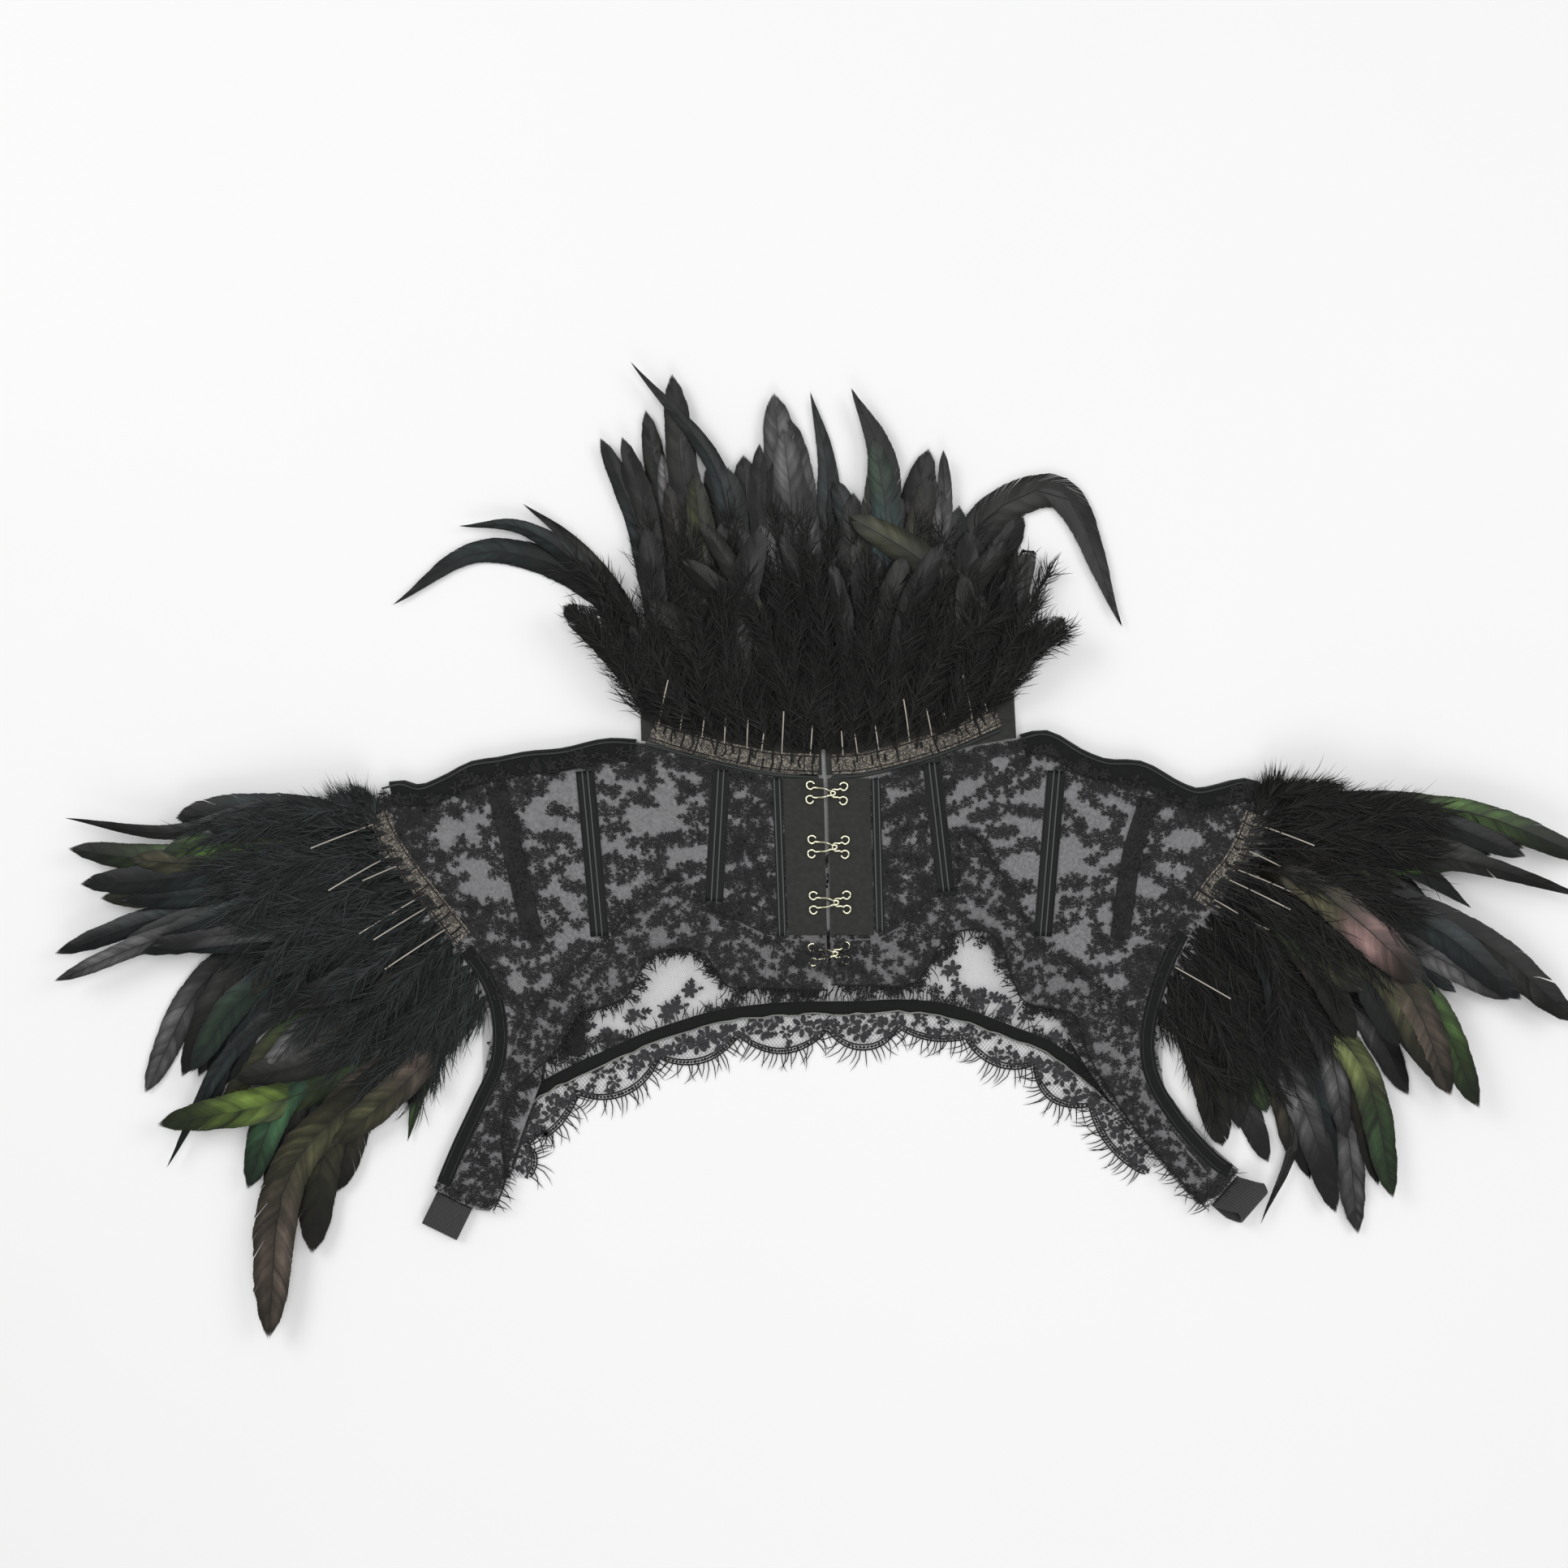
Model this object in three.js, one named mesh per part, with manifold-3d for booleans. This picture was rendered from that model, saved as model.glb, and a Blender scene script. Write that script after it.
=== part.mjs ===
// Feather cape of black lace, laid flat: a short corset-boned front that hooks down the middle, a sheer
// back beneath it, a folded stand collar, and cock-feather trim round the collar and both armholes.
// Millimetres. +X is to the right of the laid cape, +Y towards the collar, +Z up, and z = 0 is the table.
import * as THREE from "three";
import { mergeVertices } from "three/addons/utils/BufferGeometryUtils.js";
import Module from "manifold-3d";

const wasm = await Module();
wasm.setup();

// Driving dimensions
const seam = 0.3; // gap between sewn pieces
const cloth = 1.2; // lace on its net, and the collar
const ribbon = 0.8; // tapes, casings and bindings
const frontUnder = 3.3; // the front's underside, above the back's casings and trim
const tapeWide = 10; // woven heading of the feather trim
const boneWide = 8; // satin casing over a corset bone
const bindingWide = 6.5; // velvet binding of armhole and hem
const shoulderWide = 9; // velvet over the shoulder seam
const collarTall = 22;
const elasticWide = 19;
const wire = 0.6; // radius of the hook and eye wire
const feathersThick = 0.9; // a vane at its shaft
const quillWide = 1.3;
const levelStep = 1.35; // from one layer of feathers to the next

const paint = (color, roughness, metalness = 0) => new THREE.MeshStandardMaterial({ color, roughness, metalness });
const look = {
  lace: paint(0x1d1c20, 0.85),
  net: paint(0x34333a, 0.8),
  satin: paint(0x16191a, 0.4),
  velvet: paint(0x0d0f0f, 0.75),
  twill: paint(0x222422, 0.9),
  heading: paint(0x5b5550, 0.7),
  feather: paint(0x12140f, 0.45),
  elastic: paint(0x262626, 0.8),
  nickel: paint(0xc9c8a8, 0.25, 1),
};

const cape = new THREE.Group();
function add(name, geometry, material) {
  const mesh = new THREE.Mesh(geometry, material);
  mesh.name = name;
  cape.add(mesh);
}

// Turns rows of numbers into rows with the named columns.
const table = (columns, rows) => {
  const names = columns.split(" ");
  return rows.map((row) => Object.fromEntries(names.map((name, i) => [name, row[i]])));
};
const smooth = (from, to, x) => THREE.MathUtils.smoothstep(x, from, to);

// A smooth plane curve through a table's x and y, read by its share of length.
const curveOf = (rows) => new THREE.CatmullRomCurve3(rows.map(({ x, y }) => new THREE.Vector3(x, y, 0)));
function edge(rows) {
  const curve = curveOf(rows);
  curve.arcLengthDivisions = 600;
  return (share) => curve.getPointAt(THREE.MathUtils.clamp(share, 0, 1));
}

// The same, read by its share of the rows, so that two such curves run side by side.
function throughRows(rows) {
  const curve = curveOf(rows);
  return (share) => curve.getPoint(THREE.MathUtils.clamp(share, 0, 1));
}

// The right-hand normal of a plane curve, which is outwards for the hem and the armholes as they are listed.
function normalOf(curve, share) {
  const step = 0.004;
  const along = curve(Math.min(1, share + step)).sub(curve(Math.max(0, share - step)));
  return new THREE.Vector3(along.y, -along.x, 0).normalize();
}

function offset(curve, distance) {
  return (share) => curve(share).addScaledVector(normalOf(curve, share), distance);
}

// Closed wall between two equal grids of points.
function closedWall(under, over) {
  const rows = under.length;
  const columns = under[0].length;
  const points = [...under.flat(), ...over.flat()];
  const low = (i, j) => i * columns + j;
  const high = (i, j) => rows * columns + low(i, j);
  const faces = [];
  const quad = (a, b, c, d) => faces.push([a, b, c], [a, c, d]);
  for (let i = 0; i + 1 < rows; i++) {
    for (let j = 0; j + 1 < columns; j++) {
      quad(high(i, j), high(i + 1, j), high(i + 1, j + 1), high(i, j + 1));
      quad(low(i, j), low(i, j + 1), low(i + 1, j + 1), low(i + 1, j));
    }
    quad(low(i, 0), low(i + 1, 0), high(i + 1, 0), high(i, 0));
    quad(high(i, columns - 1), high(i + 1, columns - 1), low(i + 1, columns - 1), low(i, columns - 1));
  }
  for (let j = 0; j + 1 < columns; j++) {
    quad(high(0, j), high(0, j + 1), low(0, j + 1), low(0, j));
    quad(low(rows - 1, j), low(rows - 1, j + 1), high(rows - 1, j + 1), high(rows - 1, j));
  }
  return facingOut(points, faces);
}

function facingOut(points, faces) {
  let volume = 0;
  for (const [a, b, c] of faces) volume += points[a].dot(points[b].clone().cross(points[c]));
  const geometry = new THREE.BufferGeometry().setFromPoints(points);
  geometry.setIndex(faces.flatMap(([a, b, c]) => (volume < 0 ? [a, c, b] : [a, b, c])));
  return geometry;
}

const grid = (rows, columns, pointAt) =>
  Array.from({ length: rows + 1 }, (_, i) =>
    Array.from({ length: columns + 1 }, (_, j) => pointAt(i / rows, j / columns)));

// Cloth lying on a height: pointAt gives its plan, and heightAt its underside.
function laidWall(rows, columns, pointAt, heightAt, thick) {
  const under = grid(rows, columns, (u, v) => {
    const p = pointAt(u, v);
    return new THREE.Vector3(p.x, p.y, heightAt(p.x, p.y));
  });
  const over = under.map((row) => row.map((p) => p.clone().setZ(p.z + thick)));
  return closedWall(under, over);
}

// A ribbon that follows a plane curve between two offsets from it.
function laidStrip(curve, from, to, steps, heightAt, thick) {
  const reach = (value, share) => (typeof value === "function" ? value(share) : value);
  return laidWall(steps, 1, (u, v) => {
    const side = THREE.MathUtils.lerp(reach(from, u), reach(to, u), v);
    return curve(u).addScaledVector(normalOf(curve, u), side);
  }, heightAt, thick);
}

// A panel filled in between its four edges, which meet at the corners.
function panelOf(top, bottom, start, end) {
  return (u, v) => {
    const across = top(u).lerp(bottom(u), v);
    const along = start(v).lerp(end(v), u);
    const corners = top(0).lerp(bottom(0), v).lerp(top(1).lerp(bottom(1), v), u);
    return across.add(along).sub(corners);
  };
}

function solidOf(geometry) {
  const bare = mergeVertices(geometry, 1e-4);
  return new wasm.Manifold(new wasm.Mesh({
    numProp: 3,
    vertProperties: bare.attributes.position.array,
    triVerts: new Uint32Array(bare.index.array),
  }));
}

function fused(geometries) {
  const mesh = geometries.map(solidOf).reduce((whole, piece) => whole.add(piece)).getMesh();
  return new THREE.BufferGeometry()
    .setAttribute("position", new THREE.BufferAttribute(mesh.vertProperties, 3))
    .setIndex(new THREE.BufferAttribute(mesh.triVerts, 1));
}

// Plan of the cape, from the middle outwards. The halves were not laid quite alike.
const neckline = {
  l: table("x y", [[-1.3, 57.2], [-24.8, 58.8], [-46, 62.4], [-67.6, 68], [-88, 74]]),
  r: table("x y", [[0.9, 57.2], [18, 58], [39.6, 63.2], [60.8, 69.6], [92, 75.4]]),
};
const shoulder = {
  l: table("x y", [[-91, 73], [-107, 73.6], [-128.4, 68.8], [-146, 67.2], [-160, 64.4], [-172.8, 62.4], [-186, 55.6],
    [-198.8, 50.8], [-208, 53], [-219, 51]]),
  r: table("x y", [[95, 75.2], [108.4, 77.6], [126, 68], [137.6, 63.6], [155.2, 62.4], [172.8, 52.8], [182.2, 49.2],
    [194, 51.2], [206.2, 54], [217.4, 50.2]]),
};
// Down the armhole from the shoulder tip to the end of the underarm tab.
const armhole = {
  l: table("x y", [[-219, 51], [-225.2, 37.6], [-217.6, 17.6], [-205.2, 3], [-191.6, -14], [-180, -28], [-167.2, -46.8],
    [-163, -64], [-164, -82.4], [-172.4, -101.2], [-182.8, -123.6], [-191.6, -144.8]]),
  r: table("x y", [[217.4, 50.2], [217, 37.6], [210.4, 17.6], [203.2, 5], [192, -8], [181, -18], [174, -29.2],
    [165.2, -52.8], [161.6, -72], [163.6, -88], [174.2, -107.2], [193.6, -128.8], [203.2, -135.6]]),
};
// Along the front's lower edge: low at the middle, an arch under each breast, then down to the tab; beside
// each point, where the galloon that is sewn along this edge has its upper edge.
const frontHem = {
  l: table("x y topX topY", [[1.6, -47.5, 0.6, -21.8], [-25.6, -46.4, -24, -21.8], [-47.6, -45.5, -42, -14],
    [-53, -38, -54, -9], [-60.5, -29.5, -64, -2], [-73, -27, -78, 8.4], [-85, -31, -89, -2], [-91, -39, -98, -13],
    [-97, -50, -107, -23.5], [-110, -56.5, -119, -34], [-122, -59, -130, -45], [-130.4, -76, -148, -63],
    [-144.4, -88.8, -153.5, -78], [-155.2, -101, -162, -101], [-158.4, -120, -173, -120], [-157, -141.2, -177, -130],
    [-162, -155.2, -180, -138], [-171.2, -155.2, -182.5, -143], [-191.6, -144.8, -188, -146]]),
  r: table("x y topX topY", [[3.2, -44.8, 3.6, -21.8], [21.6, -45.2, 24, -22.4], [43, -44.5, 42, -13],
    [50, -37, 54, -1.5], [57, -25, 65, -1], [65, -19, 65.5, 14], [79, -18.5, 68.6, 31.6], [87, -26, 82, 16],
    [91.5, -40, 94, -4], [98, -53, 104, -25], [112.8, -56.8, 118, -33], [122.8, -60, 132, -44],
    [129.6, -80, 150, -64], [151.2, -114, 155.6, -93], [166.4, -132, 168.5, -114.5], [186.8, -154.4, 187, -136],
    [203.2, -135.6, 196, -142]]),
};
// The binding's middle line along the back's hem, from one tab to the other.
const hemArc = edge(table("x y", [[-155.6, -141], [-157, -124], [-153.6, -108], [-140.8, -97.6], [-124.4, -88.4],
  [-106.8, -80.4], [-89.2, -72.4], [-71.6, -66.4], [-54, -61.2], [-22.4, -57.2], [18.4, -56.4], [38, -55.6], [61.2, -58],
  [92, -68.8], [108.4, -75.2], [124.8, -86], [141.2, -100.4], [152, -113], [166.4, -132]]));

// The front lies on the back's casings and lifts a little along the shoulder seam.
const crownTall = 1.6;
const crownReach = 20;
const rippleTall = 0.5;
function frontHeight(x, y) {
  const seamLine = 75 - 0.19 * Math.max(0, Math.abs(x) - 90);
  const crown = crownTall * Math.exp(-(((y - seamLine) / crownReach) ** 2)) * smooth(88, 125, Math.abs(x));
  const ripple = rippleTall * Math.sin(x / 17) * Math.sin(y / 29) * smooth(60, 90, Math.abs(x));
  return frontUnder + crown + Math.abs(ripple);
}
const flat = (z) => () => z;
const onFront = (x, y) => frontHeight(x, y) + cloth + seam;
const onBack = cloth + seam;

// Front halves
const sides = ["l", "r"];
const panel = {};
for (const side of sides) {
  const top = edge([...neckline[side], ...shoulder[side]]);
  const hem = edge(frontHem[side]);
  const arm = edge(armhole[side]);
  const middle = (v) => top(0).lerp(hem(0), v);
  panel[side] = panelOf(top, hem, middle, arm);
  add("front_" + side, laidWall(20, 8, panel[side], frontHeight, cloth), look.lace);
}

// Galloon lace along the front's hem, lying on the panel.
for (const side of sides) {
  const sewn = frontHem[side].slice(0, -1);
  const low = throughRows(sewn);
  const top = throughRows(sewn.map(({ topX, topY }) => ({ x: topX, y: topY })));
  const galloon = (u, v) => top(u).lerp(low(u), v);
  add("front_galloon_" + side, laidWall(26, 2, galloon, onFront, ribbon), look.lace);
}

// Back: one sheer panel, flat on the table, open at the neck and armholes.
const backInset = 1.5;
const backTopRows = [
  ...shoulder.l.slice().reverse(),
  ...table("x y", [[-84, 75], [-60, 80], [-30, 84], [0, 85.5], [30, 84.5], [62, 81], [88, 77]]),
  ...shoulder.r,
].map(({ x, y }) => ({ x, y: y - backInset }));
const backTop = edge(backTopRows);
const backArm = { l: offset(edge(armhole.l), backInset), r: offset(edge(armhole.r), -backInset) };
const backHem = edge([
  ...table("x y", [[-190.6, -143.2], [-163, -153]]),
  ...Array.from({ length: 27 }, (_, i) => hemArc(i / 26).addScaledVector(normalOf(hemArc, i / 26), 1.2)),
  ...table("x y", [[185.5, -152], [201.4, -135.6]]),
]);
function cornered(side, corner, end) {
  // an armhole edge moved to start and end exactly at the panel's corners
  const first = corner.clone().sub(side(0));
  const last = end.clone().sub(side(1));
  return (v) => side(v).addScaledVector(first, 1 - v).addScaledVector(last, v);
}
const back = panelOf(
  backTop,
  backHem,
  cornered(backArm.l, backTop(0), backHem(0)),
  cornered(backArm.r, backTop(1), backHem(1)),
);
add("back", laidWall(48, 4, back, flat(0), cloth), look.net);

// Back hem: scalloped galloon beside the panel's edge, and velvet binding over the join.
const scallops = table("end deep", [[0.045, 15], [0.17, 21], [0.285, 21], [0.395, 20], [0.51, 22], [0.6, 21],
  [0.695, 16], [0.79, 18], [0.885, 21], [1, 17]]);
const notchDeep = 10.5;
function scallopReach(share) {
  const k = scallops.findIndex(({ end }) => share <= end + 1e-6);
  const start = k > 0 ? scallops[k - 1].end : 0;
  const part = (share - start) / (scallops[k].end - start);
  return notchDeep + (scallops[k].deep - notchDeep) * Math.sin(Math.PI * THREE.MathUtils.clamp(part, 0, 1)) ** 0.7;
}
add("back_galloon", laidStrip(hemArc, 1.2 + seam + 0.9, scallopReach, 72, flat(0), ribbon), look.lace);
const boundPart = (share) => hemArc(THREE.MathUtils.lerp(0.085, 0.94, share));
add("back_binding", laidStrip(boundPart, -bindingWide / 2, bindingWide / 2, 28, flat(onBack), ribbon), look.velvet);

// Bone casings of the back, which end at its binding.
const backCasings = table("name x topY lowX lowY wide", [
  ["c", -8, 68, -7.4, -51.5, 9], ["l", -128, 50, -122, -80, 9], ["r", 130, 48, 124, -78, 9]]);
for (const { name, x, topY, lowX, lowY, wide } of backCasings) {
  const line = edge([{ x, y: topY }, { x: lowX, y: lowY }]);
  add("back_casing_" + name, laidStrip(line, -wide / 2, wide / 2, 2, flat(onBack), ribbon), look.satin);
}

// Satin casings of the front's six bones, and the two side seam tapes.
const frontBones = table("name x topY lowX lowY wide", [
  ["l1", -23.6, 56.5, -20.8, -21, 4.5], ["l2", -50.8, 60.5, -54.4, -4, boneWide], ["l3", -117.6, 60, -110.4, -21, boneWide],
  ["r1", 25, 56.5, 27, -19, 4.5], ["r2", 52.4, 64, 59.6, 1, boneWide], ["r3", 113.6, 60, 107, -21, boneWide],
]);
for (const { name, x, topY, lowX, lowY, wide } of frontBones) {
  const line = edge([{ x, y: topY }, { x: lowX, y: lowY }]);
  add("bone_" + name, laidStrip(line, -wide / 2, wide / 2, 8, onFront, ribbon), look.satin);
}
const seamTapes = table("side x topY midX midY lowX lowY", [
  ["l", -161, 52, -152, 16, -143, -22], ["r", 158.8, 45, 151, 20, 144.8, -22]]);
for (const { side, x, topY, midX, midY, lowX, lowY } of seamTapes) {
  const line = edge([{ x, y: topY }, { x: midX, y: midY }, { x: lowX, y: lowY }]);
  add("seam_tape_" + side, laidStrip(line, -5, 5, 8, onFront, ribbon), look.velvet);
}

// Twill facings either side of the opening, with a slit of about 1.5 mm between them.
const facings = table("side innerX innerLow outerX outerLow", [["l", -0.6, 1.1, -20.6, -18], ["r", 1.4, 2.8, 22, 24.2]]);
const facingTop = 56.4;
const facingLow = -20.5;
for (const { side, innerX, innerLow, outerX, outerLow } of facings) {
  const facing = (u, v) => new THREE.Vector3(
    THREE.MathUtils.lerp(THREE.MathUtils.lerp(innerX, innerLow, u), THREE.MathUtils.lerp(outerX, outerLow, u), v),
    THREE.MathUtils.lerp(facingTop, facingLow, u), 0);
  add("facing_" + side, laidWall(4, 1, facing, onFront, ribbon), look.twill);
}

// Velvet that laps the shoulder seam and turns down over the edge to the table.
for (const side of sides) {
  const line = edge(shoulder[side]);
  const turn = side === "l" ? 1 : -1;
  const ends = { from: 0.012, to: 0.955 };
  const lap = table("out drop", [[-shoulderWide, 0], [0.6, 0], [1.5, 0.6], [1.8, 1.6]]);
  const at = (u, { out, drop }, thick) => {
    const share = THREE.MathUtils.lerp(ends.from, ends.to, u);
    const rim = line(share);
    const p = rim.clone().addScaledVector(normalOf(line, share), turn * (out + thick * smooth(-1, 1, out)));
    const lie = out < 0 ? onFront(p.x, p.y) : onFront(rim.x, rim.y);
    return p.setZ(lie - drop + thick * (1 - smooth(0, 1.2, out)));
  };
  const skirt = { out: 1.8, drop: 0 };
  const toTable = (u, thick) => at(u, skirt, thick).setZ(0.2);
  const under = grid(20, lap.length, (u, v) => {
    const k = Math.round(v * lap.length);
    return k < lap.length ? at(u, lap[k], 0) : toTable(u, 0);
  });
  const over = grid(20, lap.length, (u, v) => {
    const k = Math.round(v * lap.length);
    return k < lap.length ? at(u, lap[k], ribbon) : toTable(u, ribbon);
  });
  add("shoulder_binding_" + side, closedWall(under, over), look.velvet);
}

// Velvet binding of the armholes, from the end of the feather heading to the tab.
const armBindings = table("side from to", [["l", 0.455, 0.955], ["r", 0.405, 0.955]]);
for (const { side, from, to } of armBindings) {
  const whole = edge(armhole[side]);
  const line = (share) => whole(THREE.MathUtils.lerp(from, to, share));
  const inward = side === "l" ? -1 : 1;
  const reaches = [inward * 0.4, inward * (0.4 + bindingWide)];
  add("arm_binding_" + side, laidStrip(line, ...reaches, 18, onFront, ribbon), look.velvet);
}

// The stand collar is one band: from the opening, round each side fold, and across the back.
const foldRadius = (frontUnder + cloth / 2 - cloth / 2) / 2;
{
  const middleZ = foldRadius + cloth / 2;
  const frontRun = { l: edge(neckline.l), r: edge(neckline.r) };
  const backRun = edge(table("x y", [[-88, 75.6], [-60, 80], [-30, 84], [0, 85.5], [30, 84.5], [62, 81], [91.4, 77.2]]));
  const lift = seam + 0.5;
  const stations = [];
  const put = (p, angle, lean) => stations.push({ x: p.x, y: p.y + lift, angle, lean });
  const runSteps = 7;
  const foldSteps = 5;
  for (let i = 0; i <= runSteps; i++) put(frontRun.l(i / runSteps), 90, -0.03);
  for (let i = 1; i < foldSteps; i++) put(frontRun.l(1), 90 + (180 * i) / foldSteps, -0.03);
  for (let i = 0; i <= 2 * runSteps; i++) put(backRun(i / (2 * runSteps)), 270, 0);
  for (let i = 1; i < foldSteps; i++) put(frontRun.r(1), 270 + (180 * i) / foldSteps, -0.05);
  for (let i = runSteps; i >= 0; i--) put(frontRun.r(i / runSteps), 450, -0.05);
  const skin = (radius) => stations.map(({ x, y, angle, lean }) => {
    const turn = THREE.MathUtils.degToRad(angle);
    const place = (up) => new THREE.Vector3(
      x + radius * Math.cos(turn) + lean * up, y + up, middleZ + radius * Math.sin(turn));
    return [place(0), place(collarTall / 2), place(collarTall)];
  });
  add("collar", closedWall(skin(foldRadius - cloth / 2), skin(foldRadius + cloth / 2)), look.twill);
}

// Elastic from front tab to back tab: pressed flat on one side, sprung open on the other.
const elastics = table("side x y toX toY out tall skew", [
  ["l", -181.6, -150.4, -0.44, -0.9, 15.5, 0, 0], ["r", 196.3, -146.2, 0.754, -0.657, 10, 7, 6]]);
for (const { side, x, y, toX, toY, out, tall, skew } of elastics) {
  const along = new THREE.Vector3(toX, toY, 0).normalize();
  const across = new THREE.Vector3(-along.y, along.x, 0);
  const upper = frontUnder + cloth / 2;
  const lower = cloth / 2;
  const bend = (upper + tall - lower) / 2;
  const steps = 8;
  const rise = (s) => upper + tall * smooth(0, 0.8, s);
  const line = [];
  for (let i = 0; i <= 4; i++) line.push({ s: seam + 0.5 + (out - 0.5) * (i / 4), z: rise(i / 4), shift: skew * (i / 4) });
  for (let i = 1; i < steps; i++) {
    const turn = Math.PI / 2 - (Math.PI * i) / steps;
    line.push({ s: seam + out + bend * Math.cos(turn), z: lower + bend + bend * Math.sin(turn), shift: skew * (1 - i / steps) });
  }
  for (let i = 4; i >= 0; i--) line.push({ s: seam + 0.5 + (out - 0.5) * (i / 4), z: lower, shift: 0 });
  const skin = (half) => line.map(({ s, z, shift }, i) => {
    const before = line[Math.max(0, i - 1)];
    const after = line[Math.min(line.length - 1, i + 1)];
    const ahead = new THREE.Vector2(after.s - before.s, after.z - before.z).normalize();
    const place = (side) => new THREE.Vector3(x, y, 0)
      .addScaledVector(along, s - half * ahead.y)
      .addScaledVector(across, side + shift)
      .setZ(Math.max(0, z + half * ahead.x));
    return [place(-elasticWide / 2), place(elasticWide / 2)];
  });
  add("elastic_" + side, closedWall(skin(-cloth / 2), skin(cloth / 2)), look.elastic);
}

// Hooks and eyes, largest size, sewn on the facings.
const wireSides = 5;
const wireSection = new THREE.Shape(Array.from({ length: wireSides }, (_, i) => new THREE.Vector2(
  wire * Math.cos((2 * i * Math.PI) / wireSides), wire * Math.sin((2 * i * Math.PI) / wireSides))));
function bentWire(rows, steps) {
  const path = new THREE.CatmullRomCurve3(rows.map(({ x, y, z }) => new THREE.Vector3(x, y, z)));
  return new THREE.ExtrudeGeometry(wireSection, { steps, extrudePath: path, bevelEnabled: false });
}
const ringRadius = 1.9;
// An open ring from one angle to another, in degrees, about a centre.
const ring = (x, y, from, to) => Array.from({ length: 6 }, (_, i) => {
  const turn = THREE.MathUtils.degToRad(THREE.MathUtils.lerp(from, to, i / 5));
  return { x: x + ringRadius * Math.cos(turn), y: y + ringRadius * Math.sin(turn), z: 0 };
});
const hookUp = 1.55; // the hook's nose passes over the eye
const hookHalf = [...ring(-9.4, 3.5, 20, 290), ...table("x y z", [[-5.6, 2.3, 0.1], [-2.4, 2.1, 0.7], [0.2, 1.1, hookUp],
  [2.2, 0.9, hookUp]])];
const mirrored = (rows) => rows.map(({ x, y, z }) => ({ x, y: -y, z })).reverse();
const hookShape = bentWire([...hookHalf, { x: 2.9, y: 0, z: hookUp }, ...mirrored(hookHalf)], 24);
const eyeHalf = [...ring(6.9, 3.5, 160, -110), ...table("x y z", [[4.4, 1.9, 0], [1.6, 1.7, 0]])];
const eyeShape = bentWire([...eyeHalf, { x: 0.7, y: 0, z: 0 }, ...mirrored(eyeHalf)], 20);
const fasteners = table("x y turn", [[2.2, 49.2, -2], [3, 22.8, -1], [3.8, -4.4, 1], [3.4, -29.5, 3]]);
fasteners.forEach(({ x, y, turn }, i) => {
  for (const [name, shape] of [["hook_", hookShape], ["eye_", eyeShape]]) {
    const piece = shape.clone();
    piece.rotateZ(THREE.MathUtils.degToRad(turn));
    piece.translate(x, y, onFront(0, 0) + ribbon + seam + wire);
    add(name + (i + 1), piece, look.nickel);
  }
});

// Feathers
const stations = table("share wide", [[0, 0], [0.12, 0.08], [0.4, 0.8], [0.7, 1], [0.91, 0.62]]);
const curledStations = table("share wide", [[0, 0], [0.12, 0.08], [0.28, 0.5], [0.4, 0.8], [0.5, 0.9], [0.6, 1],
  [0.7, 1], [0.8, 0.85], [0.9, 0.6]]);
const bareQuill = 14; // the first stretch, where quills lie side by side

function wayOf({ x, y, ax, ay, bx, by, tipX, tipY }) {
  const long = Math.hypot(ax - x, ay - y) + Math.hypot(bx - ax, by - ay) + Math.hypot(tipX - bx, tipY - by);
  return { long, plan: edge([{ x, y }, { x: ax, y: ay }, { x: bx, y: by }, { x: tipX, y: tipY }]) };
}

// One feather: a four-sided vane along a curve, from its quill to a point.
function feather(rootZ, row, climb) {
  const { plan, long } = wayOf(row);
  const curls = normalOf(plan, 0.1).angleTo(normalOf(plan, 0.9)) > 0.9;
  const rings = curls ? curledStations : stations;
  const points = [];
  for (const { share, wide: part } of rings) {
    const p = plan(share);
    const side = normalOf(plan, share);
    const z = climb(share * long, long, row.level, rootZ);
    const half = Math.max(quillWide, part * row.wide) / 2;
    const thick = feathersThick / 2;
    points.push(
      p.clone().addScaledVector(side, -half).setZ(z),
      p.clone().setZ(z + thick),
      p.clone().addScaledVector(side, half).setZ(z),
      p.clone().setZ(z - thick),
    );
  }
  const tip = points.push(plan(1).setZ(climb(long, long, row.level, rootZ))) - 1;
  const faces = [[0, 1, 2], [0, 2, 3]];
  const last = 4 * (rings.length - 1);
  for (let k = 0; k < 4; k++) {
    const next = (k + 1) % 4;
    for (let i = 0; i < last; i += 4) faces.push([i + k, i + 4 + k, i + 4 + next], [i + k, i + 4 + next, i + next]);
    faces.push([last + k, tip, last + next]);
  }
  return facingOut(points, faces);
}

// Puts each feather on the lowest layer where it clears those already laid.
function layered(rows) {
  const laid = [];
  for (const row of rows) {
    const { plan, long } = wayOf(row);
    const dots = [];
    for (let far = bareQuill; far <= long; far += 4) {
      const { x, y } = plan(far / long);
      dots.push({ x, y, r: 0.3 + (row.wide / 2) * smooth(0.05, 0.5, far / long) * (1 - 0.6 * smooth(0.8, 1, far / long)) });
    }
    const meets = (other) => other.dots.some((a) => dots.some((b) => Math.hypot(a.x - b.x, a.y - b.y) < a.r + b.r));
    let level = row.lowest ?? 0;
    while (laid.some((other) => other.level === level && meets(other))) level++;
    laid.push({ ...row, level, dots });
  }
  return laid;
}

// Height along a feather: flat on its heading first, then up to its own layer.
const backLow = 2;
const backClimb = (far, long, level, rootZ) =>
  THREE.MathUtils.lerp(rootZ, backLow + level * levelStep, smooth(bareQuill - 2, 2 * bareQuill, far));
const frontRise = 5.8;
const frontClimb = (far, long, level, rootZ) => rootZ + (frontRise + level * levelStep) * smooth(2, 20, far);

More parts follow.
